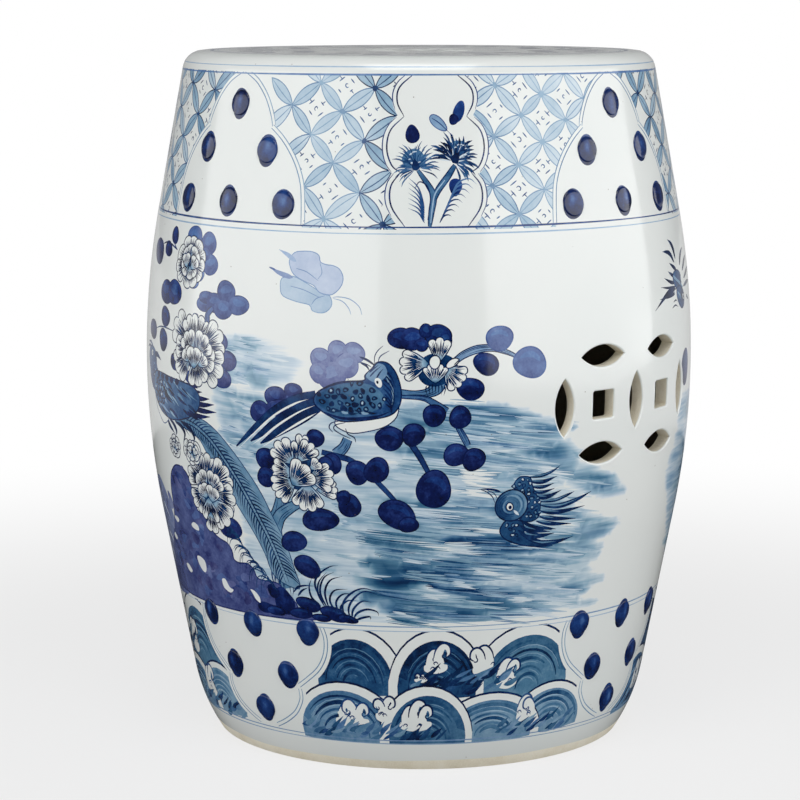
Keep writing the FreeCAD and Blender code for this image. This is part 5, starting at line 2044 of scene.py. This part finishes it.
def add_lip(skin, unrolled, rings, angle, front, rear):
    """A hole's rounded glazed lip, and the straight cut face behind it.

    The hole's front and rear are each its outline, the sheet's flat places and the numbers of its points.
    """
    opening, flat, numbers = front
    behind, back, back_numbers = rear
    count = len(opening)
    steady = np.arange(count, dtype=float)
    found, ring_places = along(opening, flat)
    ring, ring_flat = numbers[found], flat[found]
    ring_normal = wall_normal(ring_flat)
    inward = -sideways(opening, closed=True)
    sine, cosine = facing(opening)
    around = np.stack((cosine, sine, np.zeros(count)), 1)
    up = np.array((0.0, 0.0, 1.0))
    towards = -(inward[:, :1] * around + inward[:, 1:] * up)
    for outline, depth, bend in rings[1:]:
        here = hole_places(outline, angle, depth)
        added = skin.add_points(wall_point(here, depth))
        normal = math.cos(bend) * wall_normal(here) + math.sin(bend) * towards
        faces = zipped(ring, ring_places, added, steady, count)
        corners = ring_corners(faces, ring, added)
        uv = unrolled.outside(np.vstack((ring_flat, here))[corners])
        skin.add_faces(faces, uv, np.vstack((ring_normal, normal))[corners])
        ring, ring_places, ring_flat, ring_normal = added, steady, here, normal
    found, end_places = along(behind, back)
    end = back_numbers[found]
    faces = zipped(ring, ring_places, end, end_places, count)
    centre = opening.mean(0)
    shrunk = centre + (ring_flat - centre) * CUT_FACE_SHARES[0]
    far = centre + (back[found] - centre) * CUT_FACE_SHARES[1]
    uv = unrolled.outside(np.vstack((shrunk, far))[ring_corners(faces, ring, end)])
    skin.add_faces(faces, uv, slot=CLAY, smooth=False)


TOP_GRID = 6.0
UNDER_GRID = 16.0
# Where the plain underside lies in the seat's UV square, and how small.
UNDER_SPOT = 0.14
UNDER_SCALE = 0.25


def turned_ring(radius, height, count=360):
    """A level ring of places round the axis, in metres, with its places along the drawing."""
    x = CUT_LEFT + FULL_TURN * np.arange(1, count + 1) / count
    sine, cosine = facing(x[:, None])
    return np.stack((radius * sine, -radius * cosine, np.full(count, height)), 1) / 1000, x


def foot_piece(name, art, materials):
    """The foot: painted and glazed outside almost to the floor, bare clay underneath and inside."""
    skin = Skin()
    unrolled = Unrolled(0.0, SEAMS[0], 4)
    flat, faces, numbers = painted_outside(skin, unrolled, art, 0.0, SEAMS[0], [], FOOT_GRID)
    low, low_places = level_ring(flat, faces, 0.0)
    high, high_places = level_ring(flat, faces, SEAMS[0])
    floor_ring, steady = turned_ring(float(wall_radius(0.0)) - FOOT_WIDTH, 0.0)
    ledge_ring, steady = turned_ring(float(wall_radius(SEAMS[0], WALL)) - FOOT_LEDGE, SEAMS[0])
    floor_ring, ledge_ring = skin.add_points(floor_ring), skin.add_points(ledge_ring)
    for band in (
        zipped(numbers[high], high_places, ledge_ring, steady, FULL_TURN),
        zipped(ledge_ring, steady, floor_ring, steady, FULL_TURN),
        zipped(floor_ring, steady, numbers[low], low_places, FULL_TURN),
    ):
        skin.add_faces(band, skin.points[band][:, :, :2] * 0.1 + 0.05, slot=CLAY, smooth=False)
    return skin.made(name, materials)


def seat_holes():
    """The outlines of the coin pierced through the middle of the seat."""
    leaf = leaf_outline(True) + (LEAF_REACH, 0.0)
    return [square_outline()] + [turned(leaf, 90 * quarter) for quarter in range(4)]


def disc(art, radius, holes, grid, turn_step):
    """A flat disc of triangles with its holes left out, its paint, and its border."""
    count = int(round(360 / turn_step))
    angle = np.radians(VIEW_TURN - 90.0 + turn_step * np.arange(count))
    border = radius * np.stack((np.sin(angle), -np.cos(angle)), 1)
    loops = [border] + list(holes) + [split_edges(mark[0], grid) for mark in art.marks]
    dots = staggered(-radius, radius, -radius, radius, grid)
    dots = dots[np.linalg.norm(dots, axis=1) < radius - grid / 2]
    flat, faces = triangulated(loops, [], dots)
    centres = flat[faces].mean(1)
    keep = winding(centres, border) != 0
    for hole in holes:
        keep &= winding(centres, hole) == 0
    faces = faces[keep]
    return flat, faces, paint_of(art, flat, faces, (-radius, radius, -radius, radius))[0], border


def level_points(flat, height):
    """Places seen from above in millimetres, as places in metres at one height."""
    return np.hstack((flat, np.full((len(flat), 1), height))) / 1000


def seat_piece(name, wall_art, top_art, materials):
    """The seat: a slab with a rounded painted edge, pierced with one coin."""
    skin = Skin()
    seam, edge_end = SEAMS[3], SEAMS[3] + EDGE_LENGTH
    top_radius = float(seat_edge_profile(EDGE_LENGTH)[0])
    top_span = 2 * top_radius + 2 * UV_MARGIN
    whole_span = top_span + 4 * (EDGE_LENGTH + UV_GAP) + UV_MARGIN
    unrolled = Unrolled(seam, edge_end, 4, lift=top_span, span=whole_span)
    span = unrolled.span
    flat, faces, numbers = painted_outside(
        skin, unrolled, wall_art, seam, edge_end, [], EDGE_GRID, seat_edge_point, seat_edge_normal)
    rim, rim_places = level_ring(flat, faces, seam)

    outlines = seat_holes()
    lips = [lip_rings(outline) for outline in outlines]
    openings = [rings[0][0] for rings in lips]
    top, top_faces, top_paint, _ = disc(top_art, top_radius, openings, TOP_GRID, TURN_STEP)
    top_numbers = skin.add_points(level_points(top, STOOL_HEIGHT))
    up = np.broadcast_to((0.0, 0.0, 1.0), (len(top_faces), 3, 3))
    skin.add_faces(top_numbers[top_faces], (top[top_faces] + top_radius + UV_MARGIN) / span, up, top_paint)

    under_radius = float(wall_radius(seam)) - SEAT_LEDGE
    under, under_faces, _, border = disc(Painting(), under_radius, outlines, UNDER_GRID, INNER_TURN_STEP)
    under_numbers = skin.add_points(level_points(under, seam))
    under_faces = under_faces[:, ::-1]
    spot = np.array((span - UNDER_SPOT * span, UNDER_SPOT * span))
    skin.add_faces(under_numbers[under_faces], (under[under_faces] * UNDER_SCALE + spot) / span, slot=INSIDE)
    found, border_places = along(border, under)
    outer_places = (rim_places - CUT_LEFT) / FULL_TURN * len(border)
    ledge = zipped(numbers[rim], outer_places, under_numbers[found], border_places, len(border))
    skin.add_seam(ledge[:, ::-1], 0.999, CLAY)

    def from_above(faces, scale):
        return (skin.points[faces][:, :, :2] * scale + top_radius + UV_MARGIN) / span

    for rings, outline in zip(lips, outlines):
        steady = np.arange(len(outline), dtype=float)
        found, ring_places = along(rings[0][0], top)
        ring = top_numbers[found]
        for shape, depth, _ in rings[1:]:
            added = skin.add_points(level_points(shape, STOOL_HEIGHT - depth))
            faces = zipped(ring, ring_places, added, steady, len(outline))
            skin.add_faces(faces, from_above(faces, 1000))
            ring, ring_places = added, steady
        found, end_places = along(outline, under)
        faces = zipped(ring, ring_places, under_numbers[found], end_places, len(outline))
        skin.add_faces(faces, from_above(faces, 990), slot=CLAY, smooth=False)
    return skin.made(name, materials)


def boss_rise(reach):
    """A boss's height over the wall at a distance from its centre."""
    inner = BOSS_RADIUS - BOSS_EDGE
    dome = BOSS_EDGE + (BOSS_HEIGHT - BOSS_EDGE) * (1 - (np.minimum(reach, inner) / inner) ** 2)
    edge = np.sqrt(np.maximum(BOSS_EDGE ** 2 - np.maximum(reach - inner, 0.0) ** 2, 0.0))
    return np.where(reach < inner, dome, edge)


def boss_group(name, layout, materials, seed):
    """Low domed buttons, six to a lappet, each dabbed with blue that runs thin over its crown."""
    rng = random.Random(seed)
    skin = Skin()
    around = np.radians(np.arange(0, 360, 10))
    circle = np.stack((np.cos(around), np.sin(around)), 1)
    cells = math.ceil(math.sqrt(BOSS_COUNT))
    for number, (degrees, height) in enumerate(boss_places(layout)):
        wide = 1.0 + rng.uniform(-0.05, 0.0)
        tall = 1.0 + rng.uniform(-0.03, 0.03)
        lean = rng.uniform(-0.4, 0.4)
        dense = rng.uniform(0.84, 0.95)
        thin = rng.uniform(0.56, 0.72)
        shift = np.array((rng.uniform(-1.5, 1.5), rng.uniform(0.5, 2.5)))
        spot = np.array((number % cells, number // cells)) + 0.5
        rings, tones, uvs = [], [], []
        # The last ring stands under the edge and is sunk into the wall.
        for reach, drop in [(reach, 0.0) for reach in (0.0, *BOSS_RINGS)] + [(BOSS_RADIUS, BOSS_SUNK)]:
            plan = reach * circle * (wide, tall)
            plan[:, 0] += lean * plan[:, 1] * 0.1
            rise = boss_rise(np.full(len(plan), reach)) - drop
            rings.append(wall_point(at(degrees, height) + plan * (180.0 / wall_radius(height), 1.0), -rise))
            crown = np.exp(-np.sum((plan - shift) ** 2 / (5.0, 16.0), 1))
            tones.append(dense - (dense - thin) * crown)
            uvs.append((spot + plan / 20.0) / cells)
        add_dome(skin, rings, tones, uvs)
    return skin.made(name, materials)


def add_dome(skin, rings, tones, uvs):
    """A closed dome from its crown ring out to its foot ring."""
    count = len(rings[0])
    first = skin.add_points(np.vstack(rings))[0]
    faces = []
    for level in range(len(rings) - 1):
        for step in range(count):
            a, b = level * count + step, level * count + (step + 1) % count
            c, d = a + count, b + count
            faces += [(c, d, a), (d, b, a)]
    last = (len(rings) - 1) * count
    faces += [(last, last + step + 1, last + step) for step in range(1, count - 1)]
    faces = np.array(faces)
    paint = np.zeros((len(faces), 3, 3))
    paint[:, :, 0] = np.concatenate(tones)[faces]
    paint[:, :, 1] = BOSS_HUE
    skin.add_faces(first + faces, np.vstack(uvs)[faces], paint=paint)


def linear(red, green, blue):
    """A screen colour from 0 to 255 as the shader's own numbers."""
    def one(value):
        share = value / 255
        return share / 12.92 if share <= 0.04045 else ((share + 0.055) / 1.055) ** 2.4
    return one(red), one(green), one(blue), 1.0


class Graph:
    """Short calls to build the nodes of a material or of the world."""

    def __init__(self, owner):
        owner.use_nodes = True
        self.tree = owner.node_tree
        self.tree.nodes.clear()

    def node(self, kind, **settings):
        made = self.tree.nodes.new(kind)
        for name, value in settings.items():
            setattr(made, name, value)
        return made

    def link(self, source, target):
        """Leads a socket or a plain value into an input."""
        if hasattr(source, "is_output"):
            self.tree.links.new(source, target)
        else:
            target.default_value = source

    def math(self, operation, *values, clamp=False):
        made = self.node("ShaderNodeMath", operation=operation, use_clamp=clamp)
        for value, socket in zip(values, made.inputs):
            self.link(value, socket)
        return made.outputs[0]

    def mapped(self, value, low, high, start, end, smooth=False):
        """A value that runs from low to high, as one that runs from start to end."""
        made = self.node("ShaderNodeMapRange")
        made.interpolation_type = "SMOOTHSTEP" if smooth else "LINEAR"
        for number, socket in zip((value, low, high, start, end), made.inputs):
            self.link(number, socket)
        return made.outputs[0]

    def vector(self, operation, place, other=None):
        """The number that a vector operation gives for a place."""
        made = self.node("ShaderNodeVectorMath", operation=operation)
        self.link(place, made.inputs[0])
        if other:
            made.inputs[1].default_value = other
        return made.outputs["Value"]

    def mixed_shader(self, share, first, second, output):
        """Leads a mix of two shaders into an output."""
        made = self.node("ShaderNodeMixShader")
        for source, socket in zip((share, first, second), made.inputs):
            self.link(source, socket)
        self.link(made.outputs[0], output.inputs["Surface"])


class Finish(Graph):
    """The nodes of a material: a shader, its output, and textures that are laid out on the piece."""

    def __init__(self, name):
        self.material = bpy.data.materials.new(name)
        super().__init__(self.material)
        self.shader = self.node("ShaderNodeBsdfPrincipled")
        self.output = self.node("ShaderNodeOutputMaterial")
        self.link(self.shader.outputs["BSDF"], self.output.inputs["Surface"])
        self.place = self.node("ShaderNodeTexCoord").outputs["Object"]

    def set(self, name, value):
        """Leads a socket or a plain value into one of the shader's inputs."""
        self.link(value, self.shader.inputs[name])

    def noise(self, scale, detail=2.0, roughness=0.5, stretch=None):
        made = self.node("ShaderNodeTexNoise")
        made.inputs["Scale"].default_value = scale
        made.inputs["Detail"].default_value = detail
        made.inputs["Roughness"].default_value = roughness
        place = self.place
        if stretch:
            mapping = self.node("ShaderNodeMapping")
            mapping.inputs["Scale"].default_value = stretch
            self.link(place, mapping.inputs["Vector"])
            place = mapping.outputs[0]
        self.link(place, made.inputs["Vector"])
        return made.outputs["Fac"]

    def ramp(self, value, stops):
        made = self.node("ShaderNodeValToRGB")
        elements = made.color_ramp.elements
        while len(elements) < len(stops):
            elements.new(0.5)
        for element, (place, colour) in zip(elements, stops):
            element.position = place
            element.color = linear(*colour)
        self.link(value, made.inputs["Fac"])
        return made.outputs["Color"]

    def mix(self, share, first, second):
        """A mix of two colours."""
        made = self.node("ShaderNodeMix", data_type="RGBA")
        self.link(share, made.inputs["Factor"])
        self.link(first, made.inputs[6])
        self.link(second, made.inputs[7])
        return made.outputs[2]

    def bump(self, strength, distance, height):
        made = self.node("ShaderNodeBump")
        made.inputs["Strength"].default_value = strength
        made.inputs["Distance"].default_value = distance
        self.link(height, made.inputs["Height"])
        self.set("Normal", made.outputs[0])


GLAZE_STOPS = ((0.0, (238, 240, 237)), (1.0, (226, 231, 229)))
# The blue from bare glaze to its densest: greener, plain cobalt and more violet.
GREEN_STOPS = (
    (0.0, (236, 239, 238)), (0.12, (206, 220, 227)), (0.3, (150, 182, 200)), (0.5, (82, 128, 156)),
    (0.7, (32, 82, 120)), (0.86, (6, 46, 86)), (1.0, (1, 22, 52)),
)
COBALT_STOPS = (
    (0.0, (236, 239, 238)), (0.12, (205, 218, 232)), (0.3, (146, 174, 208)), (0.5, (78, 114, 172)),
    (0.7, (24, 57, 126)), (0.86, (4, 26, 82)), (1.0, (1, 11, 48)),
)
VIOLET_STOPS = (
    (0.0, (236, 239, 238)), (0.12, (206, 213, 231)), (0.3, (156, 166, 200)), (0.5, (98, 103, 152)),
    (0.7, (56, 59, 110)), (0.86, (17, 21, 71)), (1.0, (5, 7, 44)),
)
CLAY_STOPS = ((0.3, (228, 219, 196)), (0.5, (240, 233, 214)), (0.72, (247, 243, 229)))
# The clay of the inner faces, a darker copy of the bare clay: painted shade for the dark inside of the stool.
SHADED_INSIDE_STOPS = ((0.3, (122, 112, 94)), (0.5, (142, 131, 111)), (0.72, (158, 147, 127)))
# Small dark specks in the glaze: how close, how large, what share is left out, how strong, what colour.
SPECK_SCALE = 105.0
SPECK_SIZE = 0.045
SPECK_LEFT_OUT = 0.72
SPECK_STRENGTH = 0.55
SPECK_COLOUR = (104, 84, 66)


def brushed_density(g):
    """How much blue lies at a place, which pools, thins and streaks, and how violet it is."""
    paint = g.node("ShaderNodeAttribute", attribute_name="paint")
    parts = g.node("ShaderNodeSeparateColor")
    g.link(paint.outputs["Color"], parts.inputs[0])
    tone, hue, wash = parts.outputs[0], parts.outputs[1], parts.outputs[2]

    pool = g.mapped(g.noise(110.0, 3.0, 0.55), 0.3, 0.7, 0.84, 1.1)
    grain = g.mapped(g.noise(620.0, 2.0, 0.6), 0.25, 0.75, 0.93, 1.06)
    tone = g.math("MULTIPLY", g.math("MULTIPLY", tone, pool), grain)

    broad = g.noise(1.0, 3.0, 0.62, stretch=(13.0, 13.0, 120.0))
    fine = g.noise(1.0, 2.0, 0.55, stretch=(34.0, 34.0, 460.0))
    streak = g.math("ADD", g.math("MULTIPLY", broad, 0.72), g.math("MULTIPLY", fine, 0.28))
    streak = g.mapped(streak, 0.36, 0.64, -1.0, 1.0)
    covered = g.math("ADD", g.math("MULTIPLY", wash, 1.25), g.math("MULTIPLY", streak, 0.14))
    faint = g.mapped(wash, 0.0, 0.12, 0.0, 1.0, smooth=True)
    wash = g.math("MULTIPLY", g.math("MAXIMUM", covered, 0.0), faint)
    return g.math("ADD", tone, wash, clamp=True), hue


def specks(g):
    """How strongly a dark speck shows at a place."""
    cells = g.node("ShaderNodeTexVoronoi")
    cells.inputs["Scale"].default_value = SPECK_SCALE
    g.link(g.place, cells.inputs["Vector"])
    chosen = g.node("ShaderNodeSeparateColor")
    g.link(cells.outputs["Color"], chosen.inputs[0])
    small = g.math("LESS_THAN", cells.outputs["Distance"], SPECK_SIZE)
    speck = g.math("MULTIPLY", small, g.math("GREATER_THAN", chosen.outputs[0], SPECK_LEFT_OUT))
    return g.math("MULTIPLY", speck, SPECK_STRENGTH)


def painted_glaze():
    """Clear glaze over a white body, with blue as a loaded brush leaves it and a few dark specks."""
    g = Finish("painted_glaze")
    density, hue = brushed_density(g)
    green = g.ramp(density, GREEN_STOPS)
    cobalt = g.ramp(density, COBALT_STOPS)
    violet = g.ramp(density, VIOLET_STOPS)
    cooler = g.mapped(hue, 0.0, 0.5, 0.0, 1.0)
    warmer = g.mapped(hue, 0.5, 1.0, 0.0, 1.0)
    colour = g.mix(warmer, g.mix(cooler, green, cobalt), violet)
    body = g.ramp(g.noise(9.0, 2.0), GLAZE_STOPS)
    colour = g.mix(g.mapped(density, 0.0, 0.08, 0.0, 1.0), body, colour)
    g.set("Base Color", g.mix(specks(g), colour, linear(*SPECK_COLOUR)))
    g.set("Roughness", g.mapped(g.noise(40.0, 3.0), 0.3, 0.7, 0.1, 0.17))
    g.set("IOR", 1.5)
    g.set("Coat Weight", 0.15)
    g.set("Coat Roughness", 0.05)
    g.bump(0.35, 0.0006, g.noise(26.0, 2.0))
    return g.material


def bare_clay(name, stops):
    """Fired clay with no glaze: warm, matt and slightly gritty."""
    g = Finish(name)
    tint = g.math(
        "ADD", g.math("MULTIPLY", g.noise(60.0, 4.0, 0.6), 0.7), g.math("MULTIPLY", g.noise(900.0), 0.3)
    )
    g.set("Base Color", g.ramp(tint, stops))
    g.set("Roughness", g.mapped(g.noise(300.0), 0.3, 0.7, 0.72, 0.92))
    g.bump(0.5, 0.0003, g.noise(700.0, 3.0))
    return g.material


# The paper floor, in metres, and how much of it the camera and the gloss see as plain white.
FLOOR_HALF = 9.0
FLOOR_FADE = (0.35, 1.1)
NEAR_FLOOR_SHOWN = 0.74
FLOOR_STOPS = ((0.0, (198, 198, 198)), (1.0, (192, 192, 192)))
FLOOR_IN_GLOSS = (70, 70, 70)
FAR_FLOOR_IN_GLOSS = 0.5
FLOOR_BEHIND = (-0.3, 0.9)
# The room and the white backdrop behind the stool.
ROOM_COLOUR = (0.93, 0.96, 1.0, 1.0)
ROOM_STRENGTH = 0.12
BACKDROP_SPILL = 0.45
SPILL_EDGE = (0.45, 0.75)
BACKDROP_EDGE = (0.8, 0.985)
BACKDROP_IN_GLOSS = 0.27
AWAY_FROM_CAMERA = (-math.sin(math.radians(VIEW_TURN)), math.cos(math.radians(VIEW_TURN)), 0.0)
# The camera, worked out from the stool's rings in the photograph.
CAMERA_PLACE = (1.2062, -1.3922, 0.50256)
CAMERA_PITCH = 81.273
CAMERA_LENS = 122.848
CAMERA_SENSOR = 36.0
CAMERA_CLIP = (0.05, 60.0)


def floor_material():
    """Pale paper that keeps the stool's shadow and fades into the white background further out."""
    g = Finish("floor_paper")
    colour = g.ramp(g.noise(0.8), FLOOR_STOPS)
    path = g.node("ShaderNodeLightPath")
    mirrored = path.outputs["Is Glossy Ray"]
    g.set("Base Color", g.mix(mirrored, colour, linear(*FLOOR_IN_GLOSS)))
    g.set("Roughness", 0.9)
    g.set("Specular IOR Level", 0.1)
    near, far = FLOOR_FADE
    away = g.vector("LENGTH", g.place)
    fade = g.mapped(away, near, far, NEAR_FLOOR_SHOWN, 1.0, smooth=True)
    behind = g.vector("DOT_PRODUCT", g.place, AWAY_FROM_CAMERA)
    rear = g.mapped(behind, *FLOOR_BEHIND, 0.0, FAR_FLOOR_IN_GLOSS, smooth=True)
    seen = g.math("MAXIMUM", path.outputs["Is Camera Ray"], path.outputs["Is Transmission Ray"])
    beyond = g.math("MULTIPLY", g.math("GREATER_THAN", away, far), rear)
    glossy = g.math("MULTIPLY", mirrored, beyond)
    share = g.math("MULTIPLY", fade, g.math("MAXIMUM", seen, glossy))
    white = g.node("ShaderNodeEmission")
    g.mixed_shader(share, g.shader.outputs[0], white.outputs[0], g.output)
    return g.material


def make_floor():
    """A wide level sheet of paper under the stool."""
    corners = [(x * FLOOR_HALF, y * FLOOR_HALF, 0) for x, y in ((-1, -1), (1, -1), (1, 1), (-1, 1))]
    mesh = bpy.data.meshes.new("floor")
    mesh.from_pydata(corners, [], [(0, 1, 2, 3)])
    mesh.materials.append(floor_material())
    floor = bpy.data.objects.new("floor", mesh)
    bpy.context.scene.collection.objects.link(floor)


def make_world():
    """A white backdrop for the camera and behind the stool in its gloss, and a dim room elsewhere."""
    world = bpy.data.worlds.new("studio")
    bpy.context.scene.world = world
    g = Graph(world)
    output = g.node("ShaderNodeOutputWorld")
    shown = g.node("ShaderNodeBackground")
    shown.inputs["Color"].default_value = (1.0, 1.0, 1.0, 1.0)
    room = g.node("ShaderNodeBackground")
    room.inputs["Color"].default_value = ROOM_COLOUR
    room.inputs["Strength"].default_value = ROOM_STRENGTH
    path = g.node("ShaderNodeLightPath").outputs
    place = g.node("ShaderNodeTexCoord").outputs["Generated"]
    towards = g.vector("DOT_PRODUCT", place, AWAY_FROM_CAMERA)
    backdrop = g.mapped(towards, *SPILL_EDGE, 0.0, 1.0, smooth=True)
    mirrored = g.mapped(towards, *BACKDROP_EDGE, 0.0, BACKDROP_IN_GLOSS, smooth=True)
    glossy = g.math("MULTIPLY", path["Is Glossy Ray"], mirrored)
    seen = g.math("MAXIMUM", path["Is Camera Ray"], glossy)
    clear = g.math("MAXIMUM", seen, path["Is Transmission Ray"])
    bounce = g.math("MULTIPLY", path["Is Diffuse Ray"], backdrop)
    spill = g.math("MULTIPLY_ADD", bounce, BACKDROP_SPILL, clear)
    g.mixed_shader(spill, room.outputs[0], shown.outputs[0], output)


def softbox(name, azimuth, distance, middle, width, height, power, tilt=0.0):
    """A tall soft lamp facing the stool, at an azimuth from the camera's side."""
    light = bpy.data.lights.new(name, "AREA")
    light.shape = "RECTANGLE"
    light.size = width
    light.size_y = height
    light.energy = power
    lamp = bpy.data.objects.new(name, light)
    angle = math.radians(azimuth + VIEW_TURN)
    lamp.location = (distance * math.sin(angle), -distance * math.cos(angle), middle)
    aim = Vector((0.0, 0.0, middle - tilt)) - lamp.location
    lamp.rotation_euler = aim.to_track_quat("-Z", "Y").to_euler()
    bpy.context.scene.collection.objects.link(lamp)


def make_lights():
    """Two tall windows at the sides and a soft lamp high in front."""
    softbox("left_window", -60.5, 1.3, 0.5, 2.55, 0.85, 11.4)
    softbox("right_window", 67.0, 1.3, 0.5, 2.24, 0.85, 11.8)
    softbox("high_front", 0.0, 1.1, 2.0, 1.4, 1.2, 20.0, 1.74)


def make_camera():
    """The photograph's own view."""
    data = bpy.data.cameras.new("camera")
    data.sensor_width = CAMERA_SENSOR
    data.lens = CAMERA_LENS
    data.clip_start, data.clip_end = CAMERA_CLIP
    camera = bpy.data.objects.new("camera", data)
    camera.location = CAMERA_PLACE
    camera.rotation_euler = (math.radians(CAMERA_PITCH), 0.0, math.radians(VIEW_TURN))
    bpy.context.scene.collection.objects.link(camera)
    bpy.context.scene.camera = camera


def place_piece(piece, node):
    """Lets a new skin ride on the body and stand in for its CAD part."""
    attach(piece, "root")
    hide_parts(node)


def wall_painting():
    """Everything that is painted round the outside of the stool."""
    art = Painting()
    upper_band(art)
    lower_band(art)
    boss_dabs(art)
    main_scene(art)
    seat_edge_paint(art)
    foot_paint(art)
    return art


glaze = painted_glaze()
clay = bare_clay("bare_fired_clay", CLAY_STOPS)
# The inner faces get the darker clay, painted shade for the inside.
inside = bare_clay("inside_clay_painted_shade", SHADED_INSIDE_STOPS)
finishes = (glaze, clay, inside)
art = wall_painting()

place_piece(seat_piece("painted_seat", art, seat_painting(), finishes), "seat_slab")
shoulder = wall_piece("painted_shoulder", art, SEAMS[2], SEAMS[3], finishes)
place_piece(shoulder, "shoulder_ring")
barrel = wall_piece("painted_barrel", art, SEAMS[1], SEAMS[2], finishes, side_holes(), rows=2)
place_piece(barrel, "barrel")
place_piece(wall_piece("painted_base", art, SEAMS[0], SEAMS[1], finishes), "base_ring")
place_piece(foot_piece("painted_foot", art, finishes), "foot_ring")
place_piece(boss_group("shoulder_bosses", UPPER_BOSSES, finishes, 5), "upper_bosses")
place_piece(boss_group("base_bosses", LOWER_BOSSES, finishes, 9), "lower_bosses")

# The coils inside take the same darker clay: painted shade.
for coil in ("seat_joint_coil", "shoulder_joint_coil", "base_joint_coil", "foot_joint_coil"):
    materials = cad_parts[coil].data.materials
    materials.clear()
    materials.append(inside)

make_floor()
make_world()
make_lights()
make_camera()
bpy.context.scene.view_settings.view_transform = "Standard"
